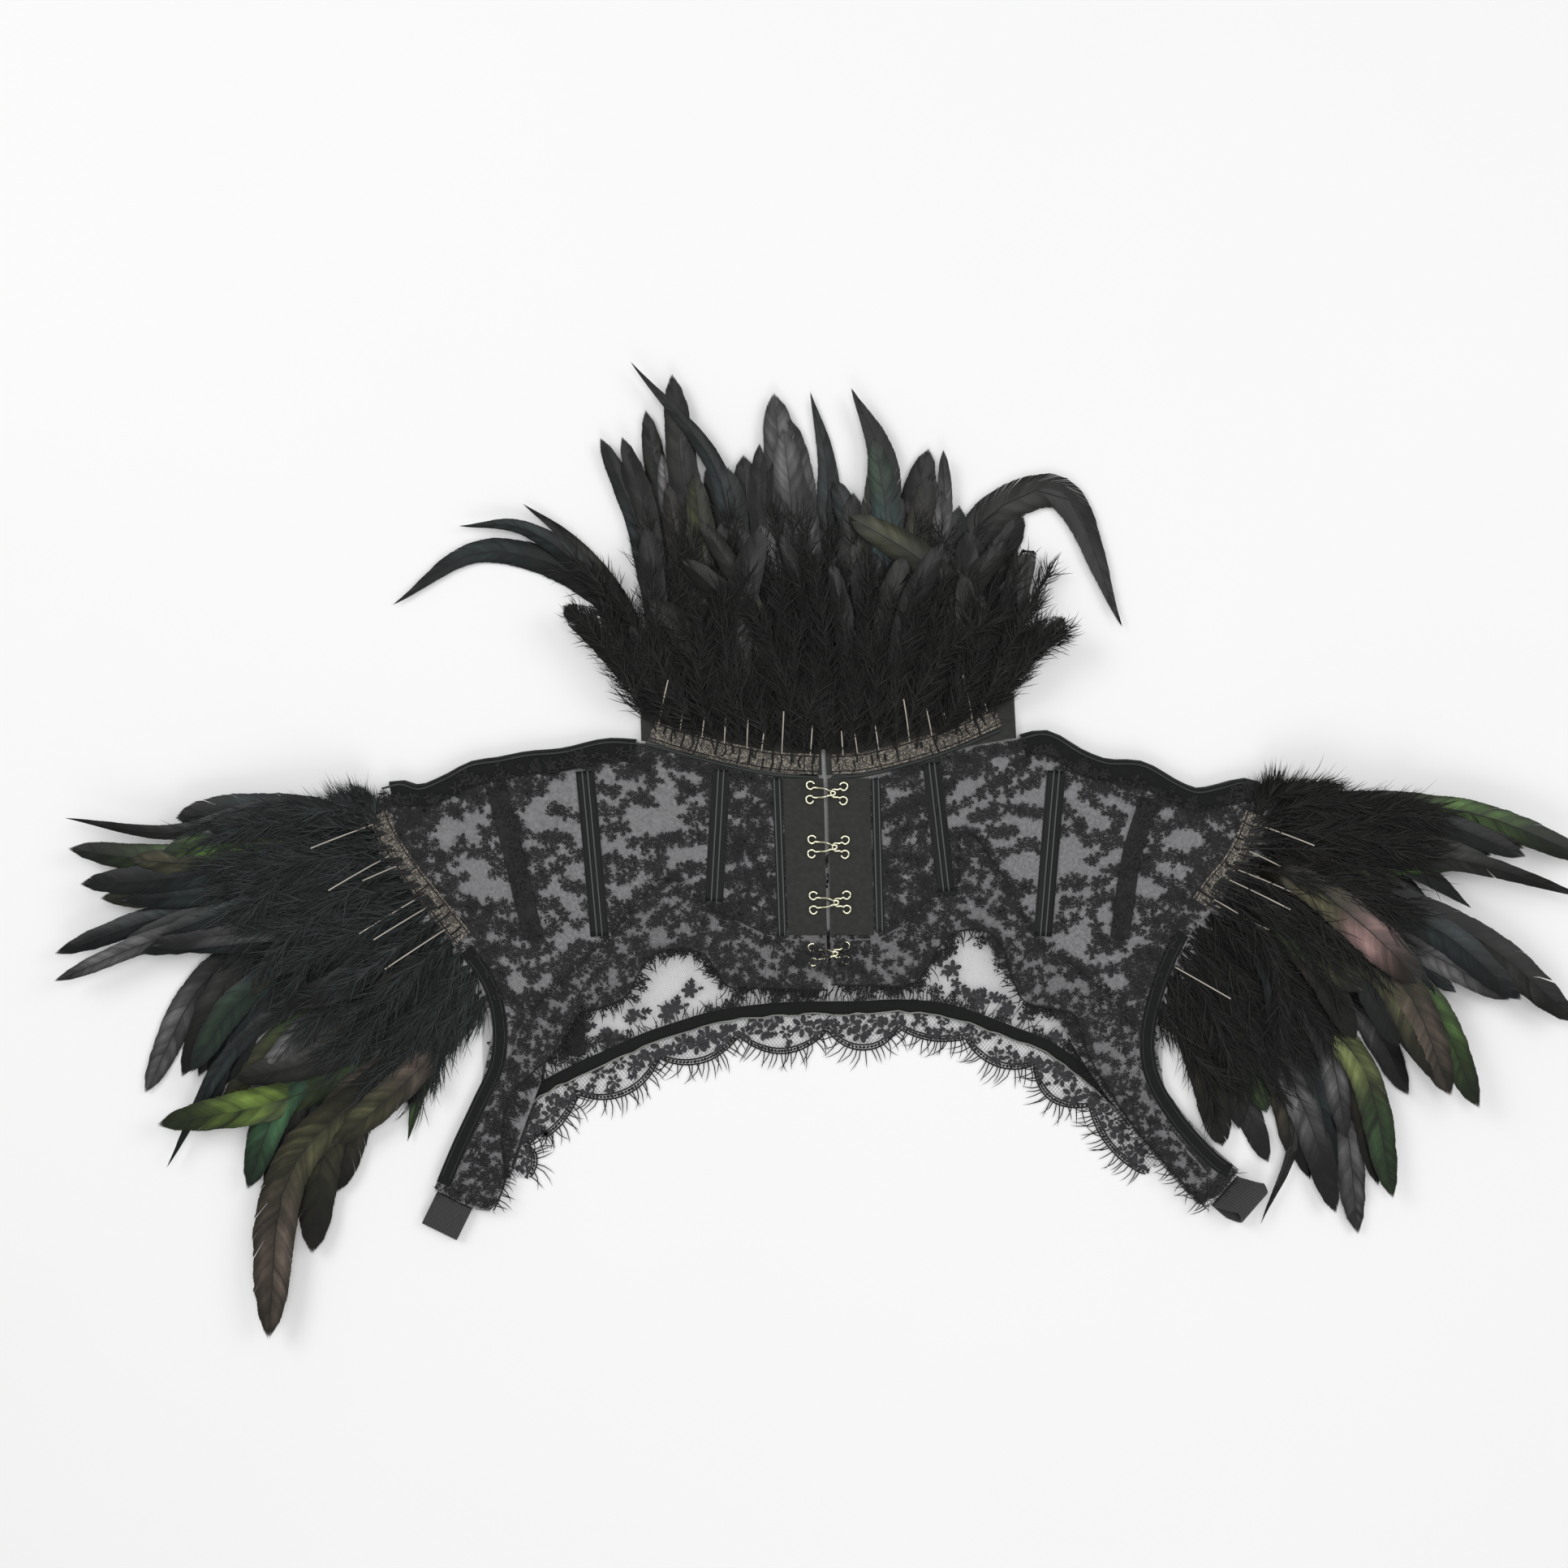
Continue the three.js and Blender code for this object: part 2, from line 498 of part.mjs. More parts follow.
// A fan of feathers between two directions.
function fan({ tape, count, from, to, turnFrom, turnTo, longFrom, longTo, wide, sway }) {
  return Array.from({ length: count }, (_, i) => {
    const part = count > 1 ? i / (count - 1) : 0.5;
    const root = tape(THREE.MathUtils.lerp(from, to, part));
    const turn = THREE.MathUtils.degToRad(THREE.MathUtils.lerp(turnFrom, turnTo, part));
    const long = THREE.MathUtils.lerp(longFrom, longTo, part) * (1 + 0.12 * Math.sin(5.3 * i + turnFrom));
    const at = (share, lean) => [root.x + share * long * Math.cos(turn + lean), root.y + share * long * Math.sin(turn + lean)];
    const [ax, ay] = at(0.35, 0);
    const [bx, by] = at(0.7, sway / 2);
    const [tipX, tipY] = at(1, sway);
    return { x: root.x, y: root.y, ax, ay, bx, by, tipX, tipY, wide };
  });
}

// Feathers by hand: the place on the heading, two points on the way, the tip, and the width.
const byHand = (tape, rows) => table("at ax ay bx by tipX tipY wide lowest", rows).map((row) => {
  const { x, y } = tape(row.at);
  return { ...row, x, y };
});

// A length of trim: the woven heading with every quill fused into it.
function trim(name, tape, underAt, steps, rows, climb) {
  const heading = laidStrip(tape, -tapeWide / 2, tapeWide / 2, steps, underAt, ribbon);
  const vanes = layered(rows).map((row) => feather(underAt(row.x, row.y) + ribbon / 2, row, climb));
  add(name, fused([heading, ...vanes]), look.feather);
}

// Front of the collar: one heading each side of the opening.
const headingRise = tapeWide / 2 + 0.8;
const collarTape = {
  l: edge(table("x y", [[-3, 57.4 + headingRise], [-24.8, 58.8 + headingRise], [-46, 62.8 + headingRise],
    [-66, 68 + headingRise], [-85, 74 + headingRise]])),
  r: edge(table("x y", [[3.4, 57.4 + headingRise], [19, 58.6 + headingRise], [39.6, 63.6 + headingRise],
    [60, 70 + headingRise], [85, 81 + headingRise]])),
};
const onCollar = flat(frontUnder + cloth + seam);
trim("collar_trim_l", collarTape.l, onCollar, 8, [
  ...fan({ tape: collarTape.l, count: 6, from: 0.06, to: 0.9, turnFrom: 97, turnTo: 112, longFrom: 122, longTo: 92,
    wide: 14, sway: 0.06 }),
  ...fan({ tape: collarTape.l, count: 8, from: 0.03, to: 0.97, turnFrom: 100, turnTo: 118, longFrom: 90, longTo: 66,
    wide: 13, sway: 0.03 }),
], frontClimb);
trim("collar_trim_r", collarTape.r, onCollar, 8, [
  ...fan({ tape: collarTape.r, count: 6, from: 0.06, to: 0.9, turnFrom: 83, turnTo: 76, longFrom: 124, longTo: 86,
    wide: 14, sway: -0.06 }),
  ...fan({ tape: collarTape.r, count: 8, from: 0.03, to: 0.97, turnFrom: 80, turnTo: 72, longFrom: 90, longTo: 62,
    wide: 13, sway: -0.03 }),
], frontClimb);

// Back of the collar: the tall feathers, and a curled spray at each side.
const backTape = edge(table("x y", [[-83, 83], [-60, 88], [-30, 92], [0, 93.5], [30, 92.5], [60, 89.5], [85, 85.5]]));
trim("collar_trim_back", backTape, flat(onBack), 12, [
  ...byHand(backTape, [
    [0.01, -112, 148, -168, 168, -212, 142, 14],
    [0.05, -103, 146, -126, 174, -148, 191, 9],
    [0.14, -74, 140, -82, 200, -88, 237, 11],
    [0.2, -66, 140, -70, 204, -75, 254, 14],
    [0.36, -50, 140, -52, 188, -56, 212, 15],
    [0.42, -36, 140, -38, 184, -40, 215, 15],
    [0.5, -16, 140, -20, 196, -25, 245, 17],
    [0.56, 1, 140, 1, 210, -7, 246, 12],
    [0.62, 18, 140, 28, 210, 13, 247, 19],
    [0.7, 36, 140, 44, 190, 51, 218, 15],
    [0.76, 48, 140, 58, 182, 58, 217, 7],
    [0.86, 62, 130, 68, 156, 69, 176, 13],
    [0.97, 85, 120, 99, 168, 95, 127, 11],
    [0.03, -110, 150, -148, 179, -179, 180, 11],
    [0.1, -84, 140, -94, 186, -110, 223, 10],
    [0.3, -44, 140, -52, 205, -95, 260, 10],
    [0.45, -26, 150, -33, 190, -32, 220, 9],
    [0.94, 73, 176, 114, 198, 146, 131, 16],
  ]),
  ...fan({ tape: backTape, count: 11, from: 0.05, to: 0.95, turnFrom: 99, turnTo: 82, longFrom: 84, longTo: 78,
    wide: 13, sway: 0.04 }),
], backClimb);

// Armholes: a heading on the front, and a longer one on the back that reaches further down.
const frontArmTape = {
  l: edge(table("x y", [[-219, 39], [-213.4, 26], [-202, 9], [-188.6, -8], [-177.5, -22]])),
  r: edge(table("x y", [[211, 39], [206, 26], [200, 15], [191, 4], [184.5, -5]])),
};
const backArmTape = {
  l: edge(table("x y", [[-213, 38], [-208, 22], [-196, 4], [-183, -12], [-171, -28], [-161, -46]])),
  r: edge(table("x y", [[208, 38], [203, 20], [193, 4], [180, -11], [168, -28], [160, -46]])),
};
trim("arm_trim_front_l", frontArmTape.l, onFront, 8, [
  ...byHand(frontArmTape.l, [
    [0.04, -244, 41, -281, 41, -316, 37, 15],
    [0.14, -262, 44, -316, 30, -369, 37, 8],
    [0.24, -262, 30, -322, 17, -368, 22, 13],
    [0.34, -262, 18, -318, 8, -361, 5, 13],
    [0.44, -258, 8, -312, 0, -352, -2, 12],
    [0.54, -252, -4, -318, -10, -375, -29, 11],
    [0.64, -246, -12, -312, -18, -374, -42, 9],
    [0.74, -240, -24, -296, -30, -338, -27, 12],
  ]),
  ...fan({ tape: frontArmTape.l, count: 8, from: 0.03, to: 0.97, turnFrom: 182, turnTo: 224, longFrom: 78, longTo: 70,
    wide: 14, sway: 0.05 }),
], frontClimb);
trim("arm_trim_back_l", backArmTape.l, flat(onBack), 10, [
  ...byHand(backArmTape.l, [
    [0.3, -250, -14, -302, -40, -334, -98, 14],
    [0.42, -240, -24, -286, -52, -310, -87, 14],
    [0.5, -232, -38, -286, -72, -322, -134, 10],
    [0.62, -214, -62, -262, -94, -324, -112, 15],
    [0.72, -206, -64, -262, -96, -282, -144, 15],
    [0.8, -208, -82, -260, -134, -271, -216, 20],
    [0.88, -190, -76, -218, -104, -240, -122, 15],
  ]),
  ...fan({ tape: backArmTape.l, count: 10, from: 0.05, to: 0.95, turnFrom: 186, turnTo: 242, longFrom: 84, longTo: 56,
    wide: 14, sway: 0.05 }),
], backClimb);
trim("arm_trim_front_r", frontArmTape.r, onFront, 8, [
  ...byHand(frontArmTape.r, [
    [0.06, 244, 45, 288, 44, 332, 35, 11],
    [0.16, 250, 42, 312, 40, 375, 16, 13],
    [0.26, 250, 32, 296, 30, 324, 19, 12],
    [0.36, 248, 22, 312, 16, 371, -2, 11],
    [0.5, 246, 8, 318, -22, 366, -62, 16],
    [0.6, 240, -4, 296, -30, 332, -51, 12],
    [0.72, 232, -6, 278, -34, 303, -97, 19],
    [0.84, 230, -18, 288, -46, 317, -103, 15],
  ]),
  ...fan({ tape: frontArmTape.r, count: 8, from: 0.04, to: 0.96, turnFrom: 0, turnTo: -48, longFrom: 84, longTo: 78,
    wide: 14, sway: -0.05 }),
], frontClimb);
trim("arm_trim_back_r", backArmTape.r, flat(onBack), 10, [
  ...byHand(backArmTape.r, [
    [0.4, 234, -30, 268, -62, 287, -99, 13],
    [0.52, 224, -42, 262, -84, 277, -148, 14],
    [0.62, 216, -52, 252, -100, 262, -167, 15],
    [0.72, 208, -60, 236, -108, 250, -156, 14],
    [0.82, 196, -64, 230, -116, 214, -162, 7],
    [0.9, 184, -70, 204, -98, 218, -132, 12],
  ]),
  ...fan({ tape: backArmTape.r, count: 10, from: 0.05, to: 0.95, turnFrom: -8, turnTo: -66, longFrom: 86, longTo: 56,
    wide: 14, sway: -0.05 }),
], backClimb);

export default cape;
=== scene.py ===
# Feather cape of black lace, laid flat on a pale table.
# Lengths in the tables are millimetres in the part's own frame.
import math
import bpy
import numpy as np
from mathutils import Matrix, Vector
from mathutils.bvhtree import BVHTree


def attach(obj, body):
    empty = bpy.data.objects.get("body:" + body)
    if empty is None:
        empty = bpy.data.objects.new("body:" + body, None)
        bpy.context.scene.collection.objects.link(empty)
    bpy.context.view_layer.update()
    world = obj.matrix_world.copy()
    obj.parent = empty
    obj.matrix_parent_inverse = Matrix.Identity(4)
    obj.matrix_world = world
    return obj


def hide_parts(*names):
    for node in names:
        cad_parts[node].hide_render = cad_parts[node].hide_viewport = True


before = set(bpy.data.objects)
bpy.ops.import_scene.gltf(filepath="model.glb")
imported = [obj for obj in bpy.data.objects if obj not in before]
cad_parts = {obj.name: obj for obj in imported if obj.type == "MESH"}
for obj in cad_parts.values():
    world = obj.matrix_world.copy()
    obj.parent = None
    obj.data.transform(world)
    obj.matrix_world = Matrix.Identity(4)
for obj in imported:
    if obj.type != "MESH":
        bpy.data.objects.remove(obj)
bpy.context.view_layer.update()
mm = 0.001
print("solids loaded")

view = {"lens": 50.0, "sensor": 36.0, "across": 772.8, "x": -20.0, "y": 53.6}
high = view["across"] / view["sensor"] * view["lens"]
bpy.ops.object.camera_add(location=(view["x"] * mm, view["y"] * mm, high * mm), rotation=(0, 0, 0))
camera = bpy.context.object
camera.data.lens = view["lens"]
camera.data.sensor_width = view["sensor"]
camera.data.clip_start = 0.01
bpy.context.scene.camera = camera


# Curves, surfaces and the making of a piece.
def ease(low, high, x):
    t = np.clip((np.asarray(x, float) - low) / (high - low), 0, 1)
    return t * t * (3 - 2 * t)


def evenLine(points, count):  # evenly spaced points on a smooth curve through the given ones
    p = np.array(points, float)
    p = np.vstack([2 * p[0] - p[1], p, 2 * p[-1] - p[-2]])
    dense = []
    for k in range(1, len(p) - 2):
        a, b, c, d = p[k - 1:k + 3]
        ta = 0.0
        tb = ta + math.sqrt(np.linalg.norm(b - a))
        tc = tb + math.sqrt(np.linalg.norm(c - b))
        td = tc + math.sqrt(np.linalg.norm(d - c))
        t = np.linspace(tb, tc, 24, endpoint=k == len(p) - 3)[:, None]
        ab = (tb - t) / (tb - ta) * a + (t - ta) / (tb - ta) * b
        bc = (tc - t) / (tc - tb) * b + (t - tb) / (tc - tb) * c
        cd = (td - t) / (td - tc) * c + (t - tc) / (td - tc) * d
        abc = (tc - t) / (tc - ta) * ab + (t - ta) / (tc - ta) * bc
        bcd = (td - t) / (td - tb) * bc + (t - tb) / (td - tb) * cd
        dense.append((tc - t) / (tc - tb) * abc + (t - tb) / (tc - tb) * bcd)
    dense = np.vstack(dense)
    run = np.concatenate([[0], np.cumsum(np.linalg.norm(np.diff(dense, axis=0), axis=1))])
    at = np.linspace(0, run[-1], count)
    return np.stack([np.interp(at, run, dense[:, k]) for k in range(dense.shape[1])], 1)


def lengthOf(line):
    return float(np.linalg.norm(np.diff(line, axis=0), axis=1).sum())


def headings(line):  # unit direction along a plan line, and its right-hand normal
    along = np.gradient(line, axis=0)
    along /= np.linalg.norm(along, axis=1)[:, None]
    return along, np.stack([along[:, 1], -along[:, 0]], 1)


def sample(line, share):
    at = np.linspace(0, 1, len(line))
    return np.stack([np.interp(share, at, line[:, k]) for k in range(line.shape[1])], -1)


def treeOf(*nodes):
    points, faces = [], []
    for node in nodes:
        mesh = bpy.data.objects[node].data
        start = len(points)
        points += [v.co.copy() for v in mesh.vertices]
        faces += [[start + i for i in f.vertices] for f in mesh.polygons]
    return BVHTree.FromPolygons(points, faces)


def topOf(tree, xy, missing=np.nan):  # height of the surface above each plan point
    out = np.full(len(xy), float(missing))
    for i, (x, y) in enumerate(xy):
        hit = tree.ray_cast(Vector((x * mm, y * mm, 0.1)), Vector((0, 0, -1)))[0]
        if hit:
            out[i] = hit.z / mm
    return out


def settle(piece, slot, *nodes):  # the piece rides on the cape and takes the place of these solids
    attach(piece, "root")
    if nodes:
        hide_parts(*nodes)


def newPiece(name, shape, material, slot, nodes=(), uv=None, tint=None, smooth=True):
    points, faces = shape
    mesh = bpy.data.meshes.new(name)
    mesh.from_pydata((np.asarray(points) * mm).tolist(), [], faces)
    mesh.validate()
    if smooth:
        mesh.shade_smooth()
    if uv is not None:
        layer = mesh.uv_layers.new(name="laid")
        index = np.zeros(len(mesh.loops), int)
        mesh.loops.foreach_get("vertex_index", index)
        layer.data.foreach_set("uv", np.asarray(uv)[index].astype(np.float32).ravel())
    if tint is not None:
        colours = mesh.color_attributes.new("tint", "FLOAT_COLOR", "POINT")
        rgba = np.ones((len(mesh.vertices), 4), np.float32)
        rgba[:, :3] = tint
        colours.data.foreach_set("color", rgba.ravel())
    mesh.materials.append(material)
    piece = bpy.data.objects.new(name, mesh)
    bpy.context.collection.objects.link(piece)
    settle(piece, slot, *nodes)


def selectOnly(piece):
    bpy.ops.object.select_all(action="DESELECT")
    piece.select_set(True)
    bpy.context.view_layer.objects.active = piece


def copyOf(node, name, material):  # a node's solid as one welded mesh, left in edit mode
    mesh = bpy.data.objects[node].data.copy()
    mesh.materials.clear()
    mesh.materials.append(material)
    piece = bpy.data.objects.new(name, mesh)
    bpy.context.collection.objects.link(piece)
    piece.hide_render = piece.hide_viewport = False
    selectOnly(piece)
    bpy.ops.object.mode_set(mode="EDIT")
    bpy.ops.mesh.select_all(action="SELECT")
    bpy.ops.mesh.remove_doubles(threshold=1e-5)
    return piece, mesh


def titled(node):  # back_binding becomes BackBinding
    return "".join(part.capitalize() for part in node.split("_"))


def gridFaces(rows, columns, start=0, turned=False):
    faces = []
    for i in range(rows - 1):
        for j in range(columns - 1):
            a = start + i * columns + j
            quad = [a, a + 1, a + columns + 1, a + columns]
            faces.append(quad[::-1] if turned else quad)
    return faces


# Cloths, threads, horn and metal.
def rgb(r, g, b):  # a colour as a picture editor shows it
    return tuple(((c / 255 + 0.055) / 1.055) ** 2.4 if c > 10 else c / 255 / 12.92 for c in (r, g, b))


def group(name, inputs, outputs, build):
    made = bpy.data.node_groups.new(name, "ShaderNodeTree")
    for label, kind, value in inputs:
        socket = made.interface.new_socket(label, in_out="INPUT", socket_type="NodeSocket" + kind)
        if value is not None:
            socket.default_value = value
    for label, kind in outputs:
        made.interface.new_socket(label, in_out="OUTPUT", socket_type="NodeSocket" + kind)
    start = made.nodes.new("NodeGroupInput")
    end = made.nodes.new("NodeGroupOutput")
    build(made, start, end)
    return made


def calc(tree, operation, *values):
    node = tree.nodes.new("ShaderNodeMath")
    node.operation = operation
    for socket, value in zip(node.inputs, values):
        if isinstance(value, (int, float)):
            socket.default_value = value
        else:
            tree.links.new(value, socket)
    return node.outputs[0]


def noiseAt(tree, vector, scale, detail=2.0):
    noise = tree.nodes.new("ShaderNodeTexNoise")
    noise.inputs["Scale"].default_value = scale
    noise.inputs["Detail"].default_value = detail
    tree.links.new(vector, noise.inputs["Vector"])
    return noise.outputs[0]


def blended(tree, a, b, factor, blend="MIX"):
    mix = tree.nodes.new("ShaderNodeMix")
    mix.data_type = "RGBA"
    mix.blend_type = blend
    for label, value in (("Factor", factor), ("A", a), ("B", b)):
        if isinstance(value, (float, tuple)):
            mix.inputs[label].default_value = value
        else:
            tree.links.new(value, mix.inputs[label])
    return mix


def buildNet(tree, start, end):
    parts = tree.nodes.new("ShaderNodeSeparateXYZ")
    tree.links.new(start.outputs["Vector"], parts.inputs[0])
    masks = []
    for sign in ("ADD", "SUBTRACT"):
        slanted = calc(tree, sign, calc(tree, "MULTIPLY", parts.outputs[0], 1.2), parts.outputs[1])
        cell = calc(tree, "FRACT", calc(tree, "DIVIDE", slanted, start.outputs["Pitch"]))
        masks.append(calc(tree, "LESS_THAN", cell, start.outputs["Thread"]))
    tree.links.new(calc(tree, "MAXIMUM", *masks), end.inputs["Mask"])


netThreads = group("netThreads", [("Vector", "Vector", None), ("Pitch", "Float", 0.0012),
                                  ("Thread", "Float", 0.25)], [("Mask", "Float")], buildNet)


def buildWeave(tree, start, end):
    parts = tree.nodes.new("ShaderNodeSeparateXYZ")
    tree.links.new(start.outputs["Vector"], parts.inputs[0])
    turns = [calc(tree, "DIVIDE", calc(tree, "MULTIPLY", part, 6.2832), start.outputs["Pitch"])
             for part in parts.outputs[:2]]
    slant = calc(tree, "ADD", calc(tree, "MULTIPLY", turns[0], start.outputs["Slant"]), turns[1])
    ridge = calc(tree, "SINE", slant)
    cross = calc(tree, "MULTIPLY", calc(tree, "SINE", calc(tree, "MULTIPLY", turns[0], 2.0)), 0.4)
    fuzz = noiseAt(tree, start.outputs["Vector"], 900)
    tree.links.new(calc(tree, "ADD", calc(tree, "ADD", ridge, cross), fuzz), end.inputs["Height"])


weave = group("weave", [("Vector", "Vector", None), ("Pitch", "Float", 0.0008), ("Slant", "Float", 1.0)],
              [("Height", "Float")], buildWeave)


def newMaterial(name, colour, rough, fixed=None, speck=0.35, grain=260.0):
    material = bpy.data.materials.new(name)
    material.use_nodes = True
    tree = material.node_tree
    shader = tree.nodes["Principled BSDF"]
    for label, value in {"Roughness": rough, "Specular IOR Level": 0.25, **(fixed or {})}.items():
        shader.inputs[label].default_value = value
    place = tree.nodes.new("ShaderNodeTexCoord")
    dark = (*[c * (1 - speck) for c in colour], 1)
    light = (*[min(1, c * (1 + speck)) for c in colour], 1)
    mix = blended(tree, dark, light, noiseAt(tree, place.outputs["Object"], grain, 4.0))
    tree.links.new(mix.outputs["Result"], shader.inputs["Base Color"])
    return material, tree, shader, place, mix


def bumped(tree, shader, height, strength, distance=0.0002):
    bump = tree.nodes.new("ShaderNodeBump")
    bump.inputs["Strength"].default_value = strength
    bump.inputs["Distance"].default_value = distance
    tree.links.new(height, bump.inputs["Height"])
    tree.links.new(bump.outputs[0], shader.inputs["Normal"])


def useWeave(tree, shader, vector, pitch, slant, strength):
    node = tree.nodes.new("ShaderNodeGroup")
    node.node_tree = weave
    node.inputs["Pitch"].default_value = pitch
    node.inputs["Slant"].default_value = slant
    tree.links.new(vector, node.inputs["Vector"])
    bumped(tree, shader, node.outputs[0], strength)
    return node


def wovenMaterial(name, colour, rough, fixed, speck, grain, pitch, slant, strength, coords="Object"):
    made = newMaterial(name, colour, rough, fixed, speck, grain)
    tree, shader, place = made[1:4]
    useWeave(tree, shader, place.outputs[coords], pitch, slant, strength)
    return made


def netMaterial(name, colour, pitch, thread, finePitch=None, fineThread=0.4):
    material, tree, shader, place = newMaterial(name, colour, 0.75, speck=0.8, grain=700)[:4]
    masks = []
    for size, share in ((pitch, thread), (finePitch, fineThread)):
        if size:
            node = tree.nodes.new("ShaderNodeGroup")
            node.node_tree = netThreads
            node.inputs["Pitch"].default_value = size
            node.inputs["Thread"].default_value = share
            tree.links.new(place.outputs["Object"], node.inputs["Vector"])
            masks.append(node.outputs[0])
    alpha = masks[0] if len(masks) == 1 else calc(tree, "MAXIMUM", *masks)
    tree.links.new(alpha, shader.inputs["Alpha"])
    return material


# Pitches are metres, threads are shares of a pitch.
frontNet = netMaterial("frontNet", rgb(125, 124, 126), 0.0011, 0.3, finePitch=0.0007, fineThread=0.42)
backNet = netMaterial("backNet", rgb(104, 102, 107), 0.0012, 0.08)
galloonNet = netMaterial("galloonNet", rgb(60, 59, 62), 0.0022, 0.08)
darkGalloonNet = netMaterial("darkGalloonNet", rgb(124, 123, 125), 0.0014, 0.3, finePitch=0.0007, fineThread=0.26)

threadGleam = {"Specular IOR Level": 0.2}
lacework, tree, shader, place = wovenMaterial("lacework", rgb(46, 46, 47), 0.8, threadGleam,
                                              speck=0.6, grain=900, pitch=0.0005, slant=0.7, strength=0.6)[:4]
pinholes = noiseAt(tree, place.outputs["Object"], 1300)
tree.links.new(calc(tree, "GREATER_THAN", pinholes, 0.44), shader.inputs["Alpha"])
hemLace = newMaterial("hemLace", rgb(54, 54, 56), 0.8, threadGleam, speck=0.5, grain=600)[0]

satin, tree, shader, place, mix = wovenMaterial("satin", rgb(15, 17, 17), 0.4, {"Specular IOR Level": 0.22},
                                                speck=0.25, grain=90, pitch=0.0004, slant=0.3, strength=0.25)
pipeHighlight = {"at": 1.3, "half": 0.34, "share": 0.8}  # the brighter crests of the two piped cords: a painted highlight, lighter colour where the light catches them
parts = tree.nodes.new("ShaderNodeSeparateXYZ")
tree.links.new(place.outputs["UV"], parts.inputs[0])
fromPipe = calc(tree, "ABSOLUTE", calc(tree, "SUBTRACT", calc(tree, "ABSOLUTE", parts.outputs[1]), pipeHighlight["at"]))
pipeHighlightMask = calc(tree, "MULTIPLY", calc(tree, "LESS_THAN", fromPipe, pipeHighlight["half"]), pipeHighlight["share"])
# painted highlight: the satin colour is lightened along the two cord crests
highlightedSatin = blended(tree, mix.outputs["Result"], (*rgb(84, 88, 86), 1), pipeHighlightMask)
tree.links.new(highlightedSatin.outputs["Result"], shader.inputs["Base Color"])

velvet = wovenMaterial("velvet", rgb(22, 23, 23), 0.75, {"Specular IOR Level": 0.15, "Sheen Weight": 0.08},
                       speck=0.4, grain=500, pitch=0.0006, slant=1.0, strength=0.4)[0]
tapeLace = wovenMaterial("tapeLace", rgb(44, 45, 44), 0.8, {"Specular IOR Level": 0.15},
                         speck=0.75, grain=480, pitch=0.0007, slant=1.0, strength=0.5)[0]
twill = wovenMaterial("twill", rgb(62, 63, 60), 0.85, threadGleam,
                      speck=0.4, grain=400, pitch=0.0007, slant=1.0, strength=0.8)[0]

headingCloth, tree, shader, place, mix = wovenMaterial(
    "headingCloth", rgb(80, 75, 69), 0.5, {"Specular IOR Level": 0.6},
    speck=0.9, grain=330, pitch=1.3, slant=0.0, strength=0.9, coords="UV")
glint = tree.nodes.new("ShaderNodeTexVoronoi")
glint.inputs["Scale"].default_value = 1700
tree.links.new(place.outputs["Object"], glint.inputs["Vector"])
sparkle = calc(tree, "GREATER_THAN", glint.outputs["Color"], 0.66)
tree.links.new(calc(tree, "MULTIPLY", sparkle, 0.6), shader.inputs["Metallic"])
pale = blended(tree, mix.outputs["Result"], (*rgb(172, 165, 152), 1), sparkle)
tree.links.new(pale.outputs["Result"], shader.inputs["Base Color"])

quillHorn = newMaterial("quillHorn", rgb(176, 170, 160), 0.25, grain=120)[0]
threadDark = newMaterial("threadDark", rgb(26, 26, 27), 0.8)[0]
nickel = newMaterial("nickel", rgb(214, 212, 186), 0.18, {"Metallic": 1.0}, speck=0.06, grain=60)[0]
# colour of cords that stand in for light: on the shoulders and arm bindings a painted highlight, along the neck
# edges painted shade
piped = newMaterial("piped", rgb(40, 45, 43), 0.5, {"Specular IOR Level": 0.3}, speck=0.5, grain=160)[0]
paleEdge = newMaterial("paleEdge", rgb(124, 126, 121), 0.7, speck=0.6, grain=220)[0]
tableTop = newMaterial("tableTop", rgb(242, 242, 242), 0.9, speck=0.01, grain=6)[0]


def elasticMaterial(name, turn):
    material, tree, shader, place, mix = newMaterial(name, rgb(66, 67, 66), 0.7, speck=0.5, grain=500)
    turned = tree.nodes.new("ShaderNodeMapping")
    turned.inputs["Rotation"].default_value = (0, 0, turn)
    tree.links.new(place.outputs["Object"], turned.inputs["Vector"])
    ribs = useWeave(tree, shader, turned.outputs[0], pitch=0.0012, slant=0.0, strength=1.0)
    # the rib height also sets the colour, lighter on the crests and darker in the grooves: painted highlight and
    # painted shade
    tree.links.new(calc(tree, "MULTIPLY", calc(tree, "ADD", ribs.outputs[0], 1.0), 0.33), mix.inputs["Factor"])
    return material


def featherMaterial(name, rough, gleam):
    material, tree, shader, _, mix = newMaterial(name, (0.5, 0.5, 0.5), rough, {"Specular IOR Level": gleam},
                                                 speck=0.4, grain=160)
    tint = tree.nodes.new("ShaderNodeAttribute")
    tint.attribute_name = "tint"
    grained = blended(tree, tint.outputs["Color"], mix.outputs["Result"], 1.0, "MULTIPLY").outputs["Result"]
    doubled = blended(tree, grained, grained, 1.0, "ADD")  # the grain is around one half
    tree.links.new(doubled.outputs["Result"], shader.inputs["Base Color"])
    return material


vaneGloss = featherMaterial("vaneGloss", 0.34, 0.22)
downMatt = featherMaterial("downMatt", 0.8, 0.1)
print("materials mixed")


# The lace panels, each cut from the top of its solid.
fronts = treeOf("front_l", "front_r")
galloons = treeOf("front_galloon_l", "front_galloon_r")
frontLace = treeOf("front_l", "front_r", "front_galloon_l", "front_galloon_r")
backTree = treeOf("back")
sheet = {"thick": 0.3, "steepest": 0.3, "sink": 0.25, "clear": 0.15}


